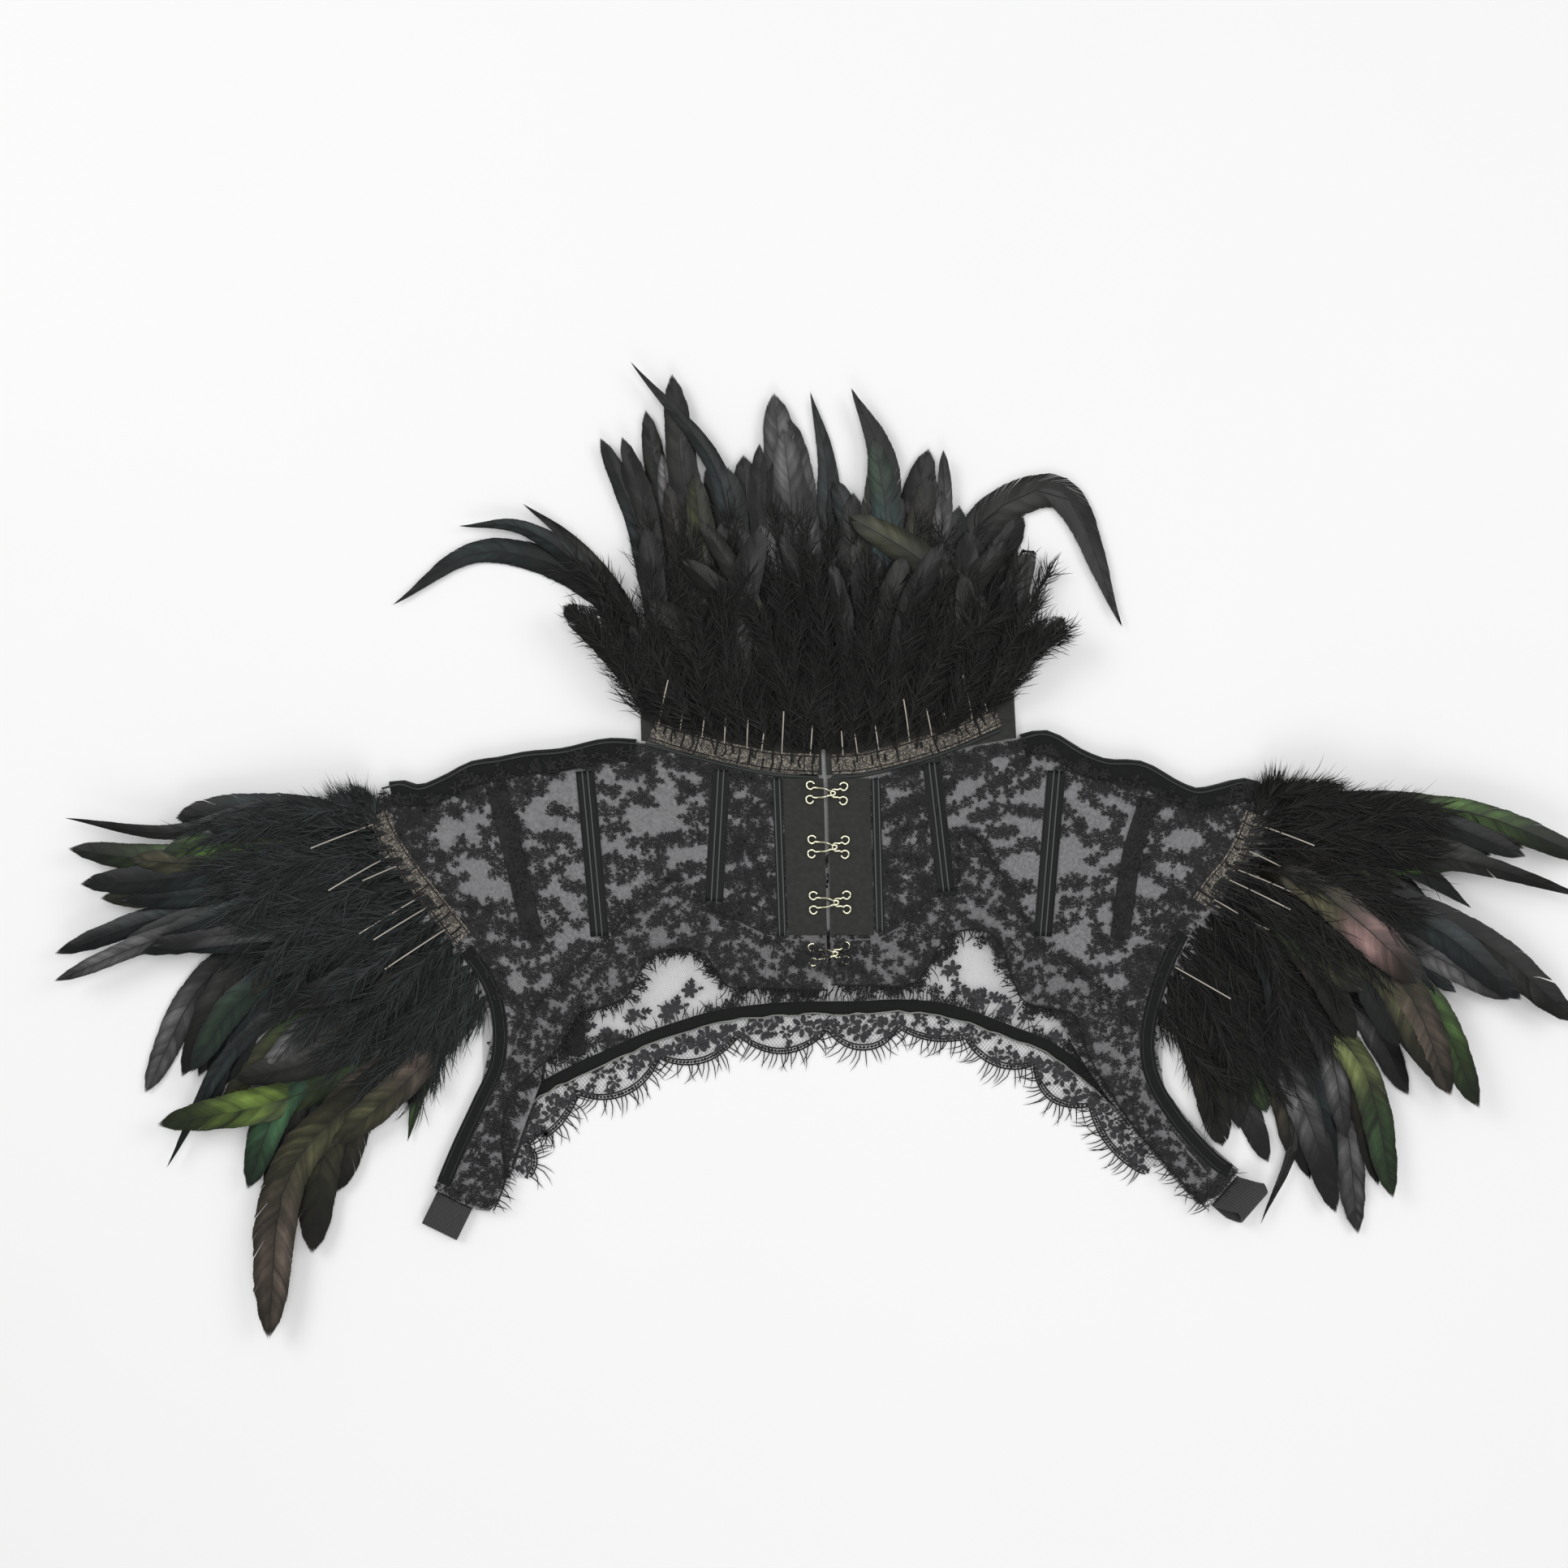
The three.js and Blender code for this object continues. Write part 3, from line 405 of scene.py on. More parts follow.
def sheetFrom(node, name, material, slot, cuts):  # the node's upper skin, refined, as a thin laid sheet
    piece, mesh = copyOf(node, name, material)
    bpy.ops.mesh.select_all(action="DESELECT")
    bpy.ops.object.mode_set(mode="OBJECT")
    for face in mesh.polygons:
        face.select = face.normal.z < sheet["steepest"]
    bpy.ops.object.mode_set(mode="EDIT")
    bpy.ops.mesh.select_mode(type="FACE")
    bpy.ops.mesh.delete(type="FACE")
    bpy.ops.mesh.select_all(action="SELECT")
    bpy.ops.mesh.subdivide(number_cuts=cuts)
    bpy.ops.object.mode_set(mode="OBJECT")
    co = np.zeros(len(mesh.vertices) * 3)
    mesh.vertices.foreach_get("co", co)
    co = co.reshape(-1, 3)
    x, y = co[:, 0] / mm, co[:, 1] / mm
    fold = 0.22 * np.sin(x / 5.3 + 0.5 * np.sin(y / 9)) * np.sin(y / 11.7) + 0.12 * np.sin(x / 2.1 + y / 3.7)
    co[:, 2] = np.maximum(co[:, 2] + (fold - sheet["sink"]) * mm, (sheet["thick"] + sheet["clear"]) * mm)
    mesh.vertices.foreach_set("co", co.ravel())
    mesh.update()
    mesh.shade_smooth()
    area = sum(face.area for face in mesh.polygons)
    solid = piece.modifiers.new("thread", "SOLIDIFY")
    solid.thickness = sheet["thick"] * mm
    solid.offset = -1
    bpy.ops.object.modifier_apply(modifier="thread")
    settle(piece, slot, node)
    return piece, area, (co[:, 0].max() - co[:, 0].min(), co[:, 1].max() - co[:, 1].min())


panels = {  # cut is the straight length and width of a galloon before it is eased round its curve
    "frontLaceL": {"node": "front_l", "material": frontNet, "cuts": 2, "slot": "lace", "on": "backSheer"},
    "frontLaceR": {"node": "front_r", "material": frontNet, "cuts": 2, "slot": "lace", "on": "backSheer"},
    "frontGalloonL": {"node": "front_galloon_l", "material": darkGalloonNet, "cuts": 2, "slot": "galloon",
                      "on": "frontLaceL", "cut": (245, 40)},
    "frontGalloonR": {"node": "front_galloon_r", "material": darkGalloonNet, "cuts": 2, "slot": "galloon",
                      "on": "frontLaceR", "cut": (290, 52)},
    "backSheer": {"node": "back", "material": backNet, "cuts": 1, "slot": "net", "on": "tableFloor"},
    "backGalloon": {"node": "back_galloon", "material": galloonNet, "cuts": 1, "slot": "galloon",
                    "on": "tableFloor", "cut": (430, 26)},
}
laid = {name: sheetFrom(facts["node"], name, facts["material"], facts["slot"], facts["cuts"])
        for name, facts in panels.items()}
print("lace panels laid")


# Petals and leaves are drawn once; the sprigs are made of them.
def oval(x, y, long, wide, turn, lift=0.2, count=8):
    a = np.linspace(0, 2 * math.pi, count, endpoint=False)
    px, py = long / 2 * np.cos(a), wide / 2 * np.sin(a)
    c, s = math.cos(turn), math.sin(turn)
    return np.c_[px * c - py * s + x, px * s + py * c + y, np.full(count, lift)], [list(range(count))]


def petals(count, radius, at, long, wide):  # round a heart, each a little above the last
    shapes = []
    for k in range(count):
        turn = 2 * math.pi * k / count
        r = radius * at
        shapes.append(oval(r * math.cos(turn), r * math.sin(turn), radius * long, radius * wide, turn,
                           0.16 + 0.012 * k))
    return shapes


def blossom(count, radius=3.7):  # full petals round a filled heart
    return joined([oval(0, 0, radius * 0.8, radius * 0.8, 0, 0.25, 6), *petals(count, radius, 0.58, 0.9, 0.56)])


def openBlossom(count=6, radius=4.4):  # petals round an open heart, as on the hem
    return joined(petals(count, radius, 0.66, 0.86, 0.5))


def leaf(long=5.2, wide=2.3):
    shapes = [oval(long * 0.5, 0, long, wide * 0.72, 0)]
    for along, side in ((0.25, 0.42), (0.3, -0.42), (0.6, 0.38), (0.65, -0.38)):
        turn = math.copysign(0.7, side)
        shapes.append(oval(long * along, wide * side, long * 0.4, wide * 0.42, turn, 0.2, 6))
    return joined(shapes)


def stem(points, wide=0.7):
    line = evenLine(points, 7)
    side = headings(line)[1]
    edges = [np.c_[line + hand * side * wide / 2, np.full(len(line), 0.1)] for hand in (-1, 1)]
    faces = [[2 * i, 2 * i + 1, 2 * i + 3, 2 * i + 2] for i in range(len(line) - 1)]
    return np.stack(edges, 1).reshape(-1, 3), faces


def turned(shape, angle, x=0.0, y=0.0, scale=1.0):
    points, faces = shape
    c, s = math.cos(angle), math.sin(angle)
    out = points.copy()
    out[:, 0] = (points[:, 0] * c - points[:, 1] * s) * scale + x
    out[:, 1] = (points[:, 0] * s + points[:, 1] * c) * scale + y
    return out, faces


def raised(shape, lift):  # so that no two petals lie in one plane
    return shape[0] + [0, 0, lift], shape[1]


def joined(shapes):
    points, faces, start = [], [], 0
    for shape, loops in shapes:
        points.append(shape)
        faces += [[start + i for i in loop] for loop in loops]
        start += len(shape)
    return np.vstack(points), faces


def sprig(rng, flowers=3, spread=9.0, openHeart=False):
    sway = ((-1, 2), (-0.3, 2.5), (0.4, 2.5), (1, 3))
    way = [(spread * along, rng.uniform(-aside, aside)) for along, aside in sway]
    shapes = [stem(way)]
    line = evenLine(way, 12)
    for k in range(flowers):
        x, y = line[int(11 * (k + 0.5) / flowers)] + rng.normal(0, 1.2, 2)
        flower = openBlossom() if openHeart else blossom(rng.integers(5, 7))
        shapes.append(raised(turned(flower, rng.uniform(0, 6), x, y, rng.uniform(0.72, 1.25)), rng.uniform(0, 0.1)))
    for k in range(int(flowers * 2.4)):
        x, y = line[rng.integers(0, 12)] + rng.normal(0, 1.6, 2)
        turn = rng.normal(0, 0.5) + (0 if rng.random() < 0.5 else math.pi)
        shapes.append(raised(turned(leaf(), turn, x, y, rng.uniform(0.6, 1.15)), rng.uniform(-0.1, 0.1)))
    return joined(shapes)


def inside(polygon, xy):  # which plan points lie in a closed outline
    x, y = xy[:, 0], xy[:, 1]
    hit = np.zeros(len(xy), bool)
    for (ax, ay), (bx, by) in zip(polygon, np.roll(polygon, -1, axis=0)):
        crosses = ((ay > y) != (by > y)) & (x < (bx - ax) * (y - ay) / (by - ay + 1e-12) + ax)
        hit ^= crosses
    return hit


def scatterSprigs(name, tree, slot, seed, flowers, spread, boxes=(), step=(1, 1), keep=1.0, placed=(), lift=0.2,
                  skip=None, scale=1.0, openHeart=False, material=lacework):
    rng = np.random.default_rng(seed)
    spots = []
    for x0, y0, x1, y1 in boxes:
        for j, y in enumerate(np.arange(y0, y1, step[1])):
            spots += [(x + (0.5 * step[0] if j % 2 else 0), y) for x in np.arange(x0, x1, step[0])]
    spots = np.array(spots)
    if len(spots):
        spots += rng.normal(0, 0.2, spots.shape) * step
        spots = spots[rng.random(len(spots)) < keep]
    if skip is not None:
        spots = spots[~skip(spots)]
    if len(placed):
        spots = np.array([*spots.tolist(), *placed])
    kinds = [sprig(rng, flowers, spread, openHeart) for _ in range(8)]
    shapes = []
    for x, y in spots:
        shape = kinds[rng.integers(0, len(kinds))]
        turn = rng.normal(0, 0.4) + (math.pi if rng.random() < 0.5 else 0)
        points, faces = turned(shape, turn, x, y, scale)
        z = topOf(tree, points[:, :2])
        lies = ~np.isnan(z)
        faces = [loop for loop in faces if all(lies[i] for i in loop)]
        if faces:
            points[:, 2] += np.where(lies, z, 0) + lift + rng.uniform(0, 0.16)
            shapes.append((points, faces))
    points, faces = joined(shapes)
    used = sorted({i for loop in faces for i in loop})
    place = {old: new for new, old in enumerate(used)}
    newPiece(name, (points[used], [[place[i] for i in loop] for loop in faces]), material, slot, smooth=False)


hems = {
    "frontL": [(1.6, -47.5), (-25.6, -46.4), (-47.6, -45.5), (-53, -38), (-60.5, -29.5), (-73, -27), (-85, -31),
               (-91, -39), (-97, -50), (-110, -56.5), (-122, -59), (-130.4, -76), (-144.4, -88.8), (-155.2, -101),
               (-158.4, -120), (-157, -141.2), (-162, -155.2)],
    "frontR": [(186.8, -154.4), (166.4, -132), (151.2, -114), (129.6, -80), (122.8, -60), (112.8, -56.8), (98, -53),
               (91.5, -40), (87, -26), (79, -18.5), (65, -19), (57, -25), (50, -37), (43, -44.5), (21.6, -45.2),
               (3.2, -44.8)],
    "galloonTopL": [(-148, -63), (-130, -45), (-119, -34), (-107, -23.5), (-98, -13), (-89, -2), (-78, 8.4),
                    (-64, -2), (-54, -9), (-42, -14)],
    "galloonTopR": [(42, -13), (54, -1.5), (65, -1), (65.5, 14), (68.6, 31.6), (82, 16), (94, -4), (104, -25),
                    (118, -33), (132, -44), (150, -64)],
    "back": [(-155.6, -141), (-157, -124), (-153.6, -108), (-140.8, -97.6), (-124.4, -88.4), (-106.8, -80.4),
             (-89.2, -72.4), (-71.6, -66.4), (-54, -61.2), (-22.4, -57.2), (18.4, -56.4), (38, -55.6), (61.2, -58),
             (92, -68.8), (108.4, -75.2), (124.8, -86), (141.2, -100.4), (152, -113), (166.4, -132)],
}
covers = treeOf("front_l", "front_r", "seam_tape_l", "seam_tape_r", "shoulder_binding_l", "shoulder_binding_r",
                "arm_binding_l", "arm_binding_r")
shoulderGap, sideGap, tapeGap = 7.0, 6.5, 8.0
edgeLines = [  # where the lace is darkest, with the gap from sprig to sprig
    ([(-208, 43), (-198, 41), (-186, 46), (-172, 53), (-158, 56), (-140, 59), (-122, 62), (-105, 65), (-92, 64)],
     shoulderGap),
    ([(96, 66), (110, 68), (126, 59), (140, 55), (156, 53), (172, 44), (184, 40), (194, 42), (206, 45)],
     shoulderGap),
    ([(-206, 33), (-204, 22), (-192, 5), (-178, -14), (-164, -32), (-152, -56)], sideGap),
    ([(204, 34), (200, 20), (190, 6), (176, -10), (164, -28), (152, -56)], sideGap),
    ([(-219, 43), (-216, 47), (-212, 49)], 3.0), ([(215, 44), (212, 48), (208, 48)], 3.0),
    ([(-161, 50), (-152, 16), (-143, -22)], tapeGap), ([(158.8, 44), (151, 20), (144.8, -22)], tapeGap),
    ([(-196, 26), (-186, 12), (-172, -8), (-158, -30)], tapeGap),
    ([(194, 26), (184, 10), (170, -8), (158, -28)], tapeGap),
    ([(-91, 71), (-78, 68), (-64, 64), (-50, 61), (-34, 58)], 4.5),
    ([(94, 73), (80, 70), (66, 66), (52, 63), (36, 59)], 4.5), ([(-68, 52), (-63, 40), (-69, 28)], tapeGap),
]
beside = []
for line, gap in edgeLines:
    count = max(3, int(lengthOf(np.array(line)) / gap))
    beside += evenLine(line, count).tolist()
rng = np.random.default_rng(17)
beside = [(x + rng.normal(0, 1.2), y + rng.normal(0, 1.2)) for x, y in beside]
clearings = [  # the sheer middles of the two arches and the gap below the slit
    np.array([(-126, -78), (-114, -56), (-92, -40), (-74, -28), (-52, -32), (-46, -52), (-70, -60), (-96, -68)]),
    np.array([(52, -50), (58, -28), (64, -20), (84, -20), (93, -36), (104, -56), (120, -68), (92, -62), (70, -56)]),
    np.array([(1, -56), (0, -46), (6, -43), (13, -47), (13, -56)]),
]


def cleared(xy):
    return np.any([inside(polygon, xy) for polygon in clearings], axis=0)


motifs = [(-66, -47), (56, -32), (60, -40), (65, -47), (54, -24), (-118, -66), (-104, -72), (-52, -36), (70, -50),
          (100, -62), (112, -70), (90, -27), (-97, -62), (-91, -61), (-79, -56), (-73, -55), (-108, -69), (83, -51),
          (89, -57), (77, -53)]
middle = evenLine(hems["back"], 66)
reach = np.where(np.arange(66) % 2, 7.0, 12.0)[:, None] + np.random.default_rng(24).normal(0, 0.8, (66, 1))
hung = []
rng = np.random.default_rng(19)
for name in ("frontL", "frontR"):
    line = evenLine(hems[name], int(lengthOf(np.array(hems[name])) / 7.0))
    hung += (line + rng.normal(0, 1.6, line.shape)).tolist()
hung = [(x, y) for x, y in hung if not -2 < x < 15]  # none across the slit
for name in ("galloonTopL", "galloonTopR"):  # over the cut edge of the galloon
    hung += evenLine(hems[name], int(lengthOf(np.array(hems[name])) / 6.0)).tolist()
hung += [(-181, -146), (-172, -151), (-186, -141), (192, -147), (198, -140), (186, -152)]  # the strap ends
hung += [(-123, -64), (-122, -71), (-123, -78), (125, -62), (124, -69), (124, -76)]  # below the seam tapes
over = treeOf("front_galloon_l", "front_galloon_r", "front_l", "front_r", "back", "back_casing_l", "back_casing_r")
sprigs = {  # boxes are filled in staggered rows, placed are single spots
    "frontSprigs": {"tree": fronts, "slot": "lace", "seed": 11, "flowers": 3, "spread": 8.5,
                    "boxes": [(-225, -62, 222, 80)], "step": (15.5, 11.5), "keep": 0.9},
    "denseSprigs": {"tree": fronts, "slot": "lace", "seed": 15, "flowers": 2, "spread": 5.5,
                    "boxes": [(-50, -24, -22, 58), (26, -24, 54, 60), (-196, -158, -150, -62),
                              (152, -158, 206, -64)], "step": (9.0, 7.0), "keep": 0.9, "lift": 0.4},
    "galloonSprigs": {"tree": galloons, "slot": "galloon", "seed": 12, "flowers": 2, "spread": 5.5,
                      "boxes": [(-190, -158, 205, 36)], "step": (7.8, 6.8), "keep": 0.95, "scale": 0.76},
    "edgeSprigs": {"tree": covers, "slot": "lace", "seed": 18, "flowers": 2, "spread": 5.0, "placed": beside,
                   "lift": 0.45},
    "backSprigs": {"tree": backTree, "slot": "net", "seed": 13, "flowers": 2, "spread": 6.0,
                   "boxes": [(-160, -145, 165, 20)], "step": (12.0, 9.0), "keep": 0.85, "skip": cleared},
    "archMotifs": {"tree": backTree, "slot": "net", "seed": 16, "flowers": 1, "spread": 2.2, "placed": motifs,
                   "scale": 1.05, "material": hemLace},
    "hemSprigs": {"tree": treeOf("back_galloon"), "slot": "galloon", "seed": 14, "flowers": 1, "spread": 2.6,
                  "placed": middle + headings(middle)[1] * reach, "scale": 1.05, "openHeart": True,
                  "material": hemLace},
    "hungSprigs": {"tree": over, "slot": "galloon", "seed": 20, "flowers": 2, "spread": 4.0, "placed": hung,
                   "lift": 0.4, "scale": 0.85},
}
for name, facts in sprigs.items():
    scatterSprigs(name, **facts)
print("sprigs sewn")


# The hems: cords along the scallops, and the eyelash threads.
scallops = [(0.045, 15), (0.17, 21), (0.285, 21), (0.395, 20), (0.51, 22), (0.6, 21), (0.695, 16), (0.79, 18),
            (0.885, 21), (1.0, 17)]
notch = 10.5


def scallopLine(inset=0.0, count=420):  # the outer edge of the back galloon, or a line inside it
    line = evenLine(hems["back"], count)
    side = headings(line)[1]
    share = np.linspace(0, 1, count)
    reach = np.zeros(count)
    start = 0.0
    for end, deep in scallops:
        part = (share >= start) & (share <= end)
        reach[part] = notch + (deep - notch) * np.sin(np.pi * (share[part] - start) / (end - start)) ** 0.7
        start = end
    return line + side * (reach - inset)[:, None]


def cord(line, z, radius, sides=5):  # a thin tube along a plan line, z a height or one per point
    side = headings(line)[1]
    z = np.broadcast_to(z, len(line))
    rings = []
    for k in range(sides):
        a = 2 * math.pi * k / sides
        rings.append(np.c_[line + side * (radius * math.cos(a)), z + radius * math.sin(a)])
    points = np.stack(rings, 1).reshape(-1, 3)
    faces = []
    for i in range(len(line) - 1):
        for k in range(sides):
            a, b = i * sides + k, i * sides + (k + 1) % sides
            faces.append([a, b, b + sides, a + sides][::-1])
    return points, faces


def hairs(base, direction, long, bend, z, rise, width):  # curved flat threads, all at once
    count = len(base)
    side = np.stack([direction[:, 1], -direction[:, 0]], 1)
    rows = []
    for t, w in ((0.0, 1.0), (0.4, 0.9), (0.75, 0.6), (1.0, 0.0)):
        p = base + direction * (long * t)[:, None] + side * (bend * long * t * t)[:, None]
        turn = np.arctan(2 * bend * t)
        across = side * np.cos(turn)[:, None] - direction * np.sin(turn)[:, None]
        height = z + rise * (t - 0.35 * t * t)
        half = across * (width * w / 2)[:, None]
        if w:
            rows += [np.c_[p - half, height], np.c_[p + half, height]]
        else:
            rows.append(np.c_[p, height])
    points = np.stack(rows, 1).reshape(-1, 3)
    starts = np.arange(count) * 7
    faces = []
    for loop in ([0, 1, 3, 2], [2, 3, 5, 4], [4, 5, 6]):
        faces += (starts[:, None] + np.array(loop)).tolist()
    return points, faces


def lashes(line, rng, z, pitch=1.7, long=(4.0, 9.0), lean=0.4, width=0.5, curl=0.0):
    count = int(lengthOf(line) / pitch)
    share = np.clip((np.arange(count) + rng.uniform(-0.3, 0.3, count)) / count, 0, 1)
    base = sample(line, share)
    along, side = headings(line)
    a, s = sample(along, share), sample(side, share)
    angle = rng.normal(0, lean, count)
    direction = s * np.cos(angle)[:, None] + a * np.sin(angle)[:, None]
    heights = sample(np.c_[np.broadcast_to(z, len(line))], share)[:, 0]
    return hairs(base, direction, rng.uniform(*long, count), rng.normal(curl, 0.3, count), heights,
                 rng.uniform(-0.2, 0.5, count), np.full(count, width))


rng = np.random.default_rng(21)
outer, hemLine = scallopLine(), evenLine(hems["back"], 200)
threads = [cord(outer, z=0.6, radius=0.42), cord(scallopLine(2.6), z=0.85, radius=0.4),
           lashes(outer, rng, z=0.6, pitch=2.1, long=(7.0, 11.0), lean=0.22, width=0.6, curl=0.3),
           lashes(hemLine - headings(hemLine)[1] * 3.4, rng, z=1.5, pitch=1.8, long=(-9.0, -4.0), lean=0.3)]
for name in ("frontL", "frontR"):
    line = evenLine(hems[name], 260)
    z = topOf(galloons, line + headings(line)[1] * 1.6, 5.4)
    threads.append(cord(line, z + 0.2, 0.4))
    threads.append(lashes(line, rng, z, pitch=1.9, long=(-9.0, -5.0), lean=0.25, width=0.6, curl=0.3))
for name in ("galloonTopL", "galloonTopR"):
    line = evenLine(hems[name], 120)
    z = topOf(frontLace, line, 6.0) + 0.3
    threads.append(lashes(line, rng, z, pitch=1.6, long=(-6.5, -3.0), lean=0.4, width=0.35))
band = scallopLine(1.3, 230)
for (x, y), (dx, dy) in zip(band, headings(band)[0]):  # small leaves between the two cords
    threads.append(oval(x, y, rng.uniform(1.4, 2.3), rng.uniform(1.0, 1.6), math.atan2(dy, dx) + rng.normal(0, 0.6),
                        1.05, 6))
for ends in (((-191, -145), (-162, -155)), ((186.8, -154), (203, -136))):  # frayed threads at the two strap ends
    for lean, long in ((1.1, (-7.0, 5.0)), (0.6, (-6.0, 6.0))):
        threads.append(lashes(evenLine(ends, 40), rng, z=5.6, pitch=0.8, long=long, lean=lean, width=0.35))
newPiece("hemThreads", joined(threads), threadDark, "galloon")
print("hems edged")


# Ribbons: a profile carried along a line that lies on what is beneath.
def ribbon(line, profile, tree, under, spare):
    side = headings(line)[1]
    top, low, uv = [], [], []
    run = np.concatenate([[0], np.cumsum(np.linalg.norm(np.diff(line, axis=0), axis=1))])
    middle = topOf(tree, line, spare)
    for out, lift in profile:
        xy = line + side * out
        z = topOf(tree, xy)
        z = np.where(np.isnan(z), middle, z)
        top.append(np.c_[xy, z + lift])
        low.append(np.c_[xy, z + under])
        uv.append(np.c_[run, np.full(len(line), out)])
    rows, columns = len(line), len(profile)
    points = np.vstack([np.stack(skin, 1).reshape(-1, 3) for skin in (top, low)])
    uv = np.stack(uv, 1).reshape(-1, 2)
    below = rows * columns
    faces = gridFaces(rows, columns, 0, True) + gridFaces(rows, columns, below)
    for i in range(rows - 1):
        for j, flip in ((0, True), (columns - 1, False)):
            a = i * columns + j
            quad = [a, a + columns, a + columns + below, a + below]
            faces.append(quad if flip else quad[::-1])
    for i, flip in ((0, False), (rows - 1, True)):
        for j in range(columns - 1):
            a = i * columns + j
            quad = [a, a + 1, a + 1 + below, a + below]
            faces.append(quad[::-1] if flip else quad)
    return (points, faces), np.vstack([uv, uv])


def sewRibbon(name, points, profile, tree, material, slot, node, steps, under=0.12, spare=5.0):
    shape, uv = ribbon(evenLine(points, steps), profile, tree, under, spare)
    newPiece(name, shape, material, slot, [node], None if node.startswith("back_casing") else uv)


def softProfile(wide, tall, edge=0.6):
    half = wide / 2
    return [(-half, 0.2), (-half + 0.25 * edge, 0.75 * tall), (-half + edge, tall), (-half * 0.4, tall * 1.05),
            (0, tall * 1.1), (half * 0.4, tall * 1.05), (half - edge, tall), (half - 0.25 * edge, 0.75 * tall),
            (half, 0.2)]


def boneProfile(wide):  # a casing with a cord piped along each side of its bone
    half = wide / 2
    return [(-half, 0.2), (-half + 0.3, 0.6), (-half + 0.9, 0.7), (-half + 1.3, 1.0), (-2.0, 0.95), (-1.7, 1.25),
            (-1.3, 1.4), (-0.9, 1.25), (-0.5, 0.8), (0.5, 0.8), (0.9, 1.25), (1.3, 1.4), (1.7, 1.25), (2.0, 0.95),
            (half - 1.3, 1.0), (half - 0.9, 0.7), (half - 0.3, 0.6), (half, 0.2)]


bones = {
    "bone_l1": [(-23.6, 56.5), (-20.8, -21)], "bone_l2": [(-50.8, 60.5), (-54.4, -4)],
    "bone_l3": [(-117.6, 60), (-110.4, -21)], "bone_r1": [(25, 56.5), (27, -19)],
    "bone_r2": [(52.4, 64), (59.6, 1)], "bone_r3": [(113.6, 60), (107, -21)],
}
for node, ends in bones.items():
    narrow = node.endswith("1")
    profile = softProfile(4.5, 1.1, 1.0) if narrow else boneProfile(9.0)
    sewRibbon(node.replace("bone_", "channel"), ends, profile, fronts, satin, "satin", node, 30)

straps = {  # middle line, width, material, slot, what is beneath, steps, height where nothing is
    "back_binding": (hems["back"][2:-1], 6.5, velvet, "velvet", backTree, 90, 2.0),
    "back_casing_c": ([(-8, 68), (-7.4, -51.5)], 9.0, satin, "satin", backTree, 30, 1.2),
    "back_casing_l": ([(-128, 50), (-122, -80)], 9.0, tapeLace, "satin", backTree, 30, 1.2),
    "back_casing_r": ([(130, 48), (124, -78)], 9.0, tapeLace, "satin", backTree, 30, 1.2),
    "seam_tape_l": ([(-161, 52), (-152, 16), (-143, -22)], 10.0, tapeLace, "velvet", fronts, 30, 5.0),
    "seam_tape_r": ([(158.8, 45), (151, 20), (144.8, -22)], 9.5, tapeLace, "velvet", fronts, 30, 5.0),
}
for node, (points, wide, material, slot, tree, steps, spare) in straps.items():
    name = titled(node)
    sewRibbon(name[0].lower() + name[1:], points, softProfile(wide, 0.85), tree, material, slot, node, steps, 0.15,
              spare)

armholes = {
    "l": [(-219, 51), (-225.2, 37.6), (-217.6, 17.6), (-205.2, 3), (-191.6, -14), (-180, -28), (-167.2, -46.8),
          (-163, -64), (-164, -82.4), (-172.4, -101.2), (-182.8, -123.6), (-191.6, -144.8)],
    "r": [(217.4, 50.2), (217, 37.6), (210.4, 17.6), (203.2, 5), (192, -8), (181, -18), (174, -29.2),
          (165.2, -52.8), (161.6, -72), (163.6, -88), (174.2, -107.2), (193.6, -128.8), (203.2, -135.6)],
}
armEdge = {"steps": 240, "middle": 3.4, "cords": (1.4, 5.6)}  # out from the opening
armLines = {side: evenLine(points, armEdge["steps"]) for side, points in armholes.items()}
outward = {"l": -1, "r": 1}
for side, start in (("l", 0.44), ("r", 0.39)):
    line = armLines[side]
    line = line + headings(line)[1] * (outward[side] * armEdge["middle"])
    line = line[int(start * armEdge["steps"]):int(0.985 * armEdge["steps"])]
    shape, uv = ribbon(line, softProfile(7.2, 1.0, 1.2), fronts, under=0.15, spare=4.8)
    newPiece("armBinding" + side.upper(), shape, velvet, "velvet", ["arm_binding_" + side], uv)
shoulders = {
    "l": [(-91, 73), (-107, 73.6), (-128.4, 68.8), (-146, 67.2), (-160, 64.4), (-172.8, 62.4), (-186, 55.6),
          (-198.8, 50.8), (-208, 53), (-217, 51)],
    "r": [(95, 75.2), (108.4, 77.6), (126, 68), (137.6, 63.6), (155.2, 62.4), (172.8, 52.8), (182.2, 49.2),
          (194, 51.2), (206.2, 54), (215, 50.4)],
}
# the neck edges, where a dark cord stands in for the shade below the collar heading: painted shade
neckShadeLines = [[(-88, 73.3), (-66, 67.4), (-46, 62.2), (-24.8, 58.2), (-3, 56.8)],
             [(3.4, 56.8), (19, 58), (39.6, 63), (60, 69.4), (86, 80)]]
# cords that stand in for light: lighter lines along the shoulders and arm bindings are painted highlights, the
# neck-edge cords are painted shade
cords = []
for side, points in shoulders.items():
    line = evenLine(points, 120)
    inward = headings(line)[1]
    inward *= np.sign(-inward[:, 1:])
    top = topOf(treeOf("shoulder_binding_" + side), line + inward, 6.4)
    cords.append(cord(line - inward * 0.3, top + 0.1, 0.6))
for side, start in (("l", 0.46), ("r", 0.41)):
    line = armLines[side][int(start * armEdge["steps"]):int(0.97 * armEdge["steps"])]
    for out in armEdge["cords"]:
        way = line + headings(line)[1] * (outward[side] * out)
        cords.append(cord(way, topOf(fronts, way, 5.0) + 1.0, 0.3))
for points in neckShadeLines:
    neck = evenLine(points, 60)
    cords.append(cord(neck, topOf(fronts, neck, 5.0) + 0.35, 0.9))
newPiece("pipings", joined(cords), piped, "velvet")
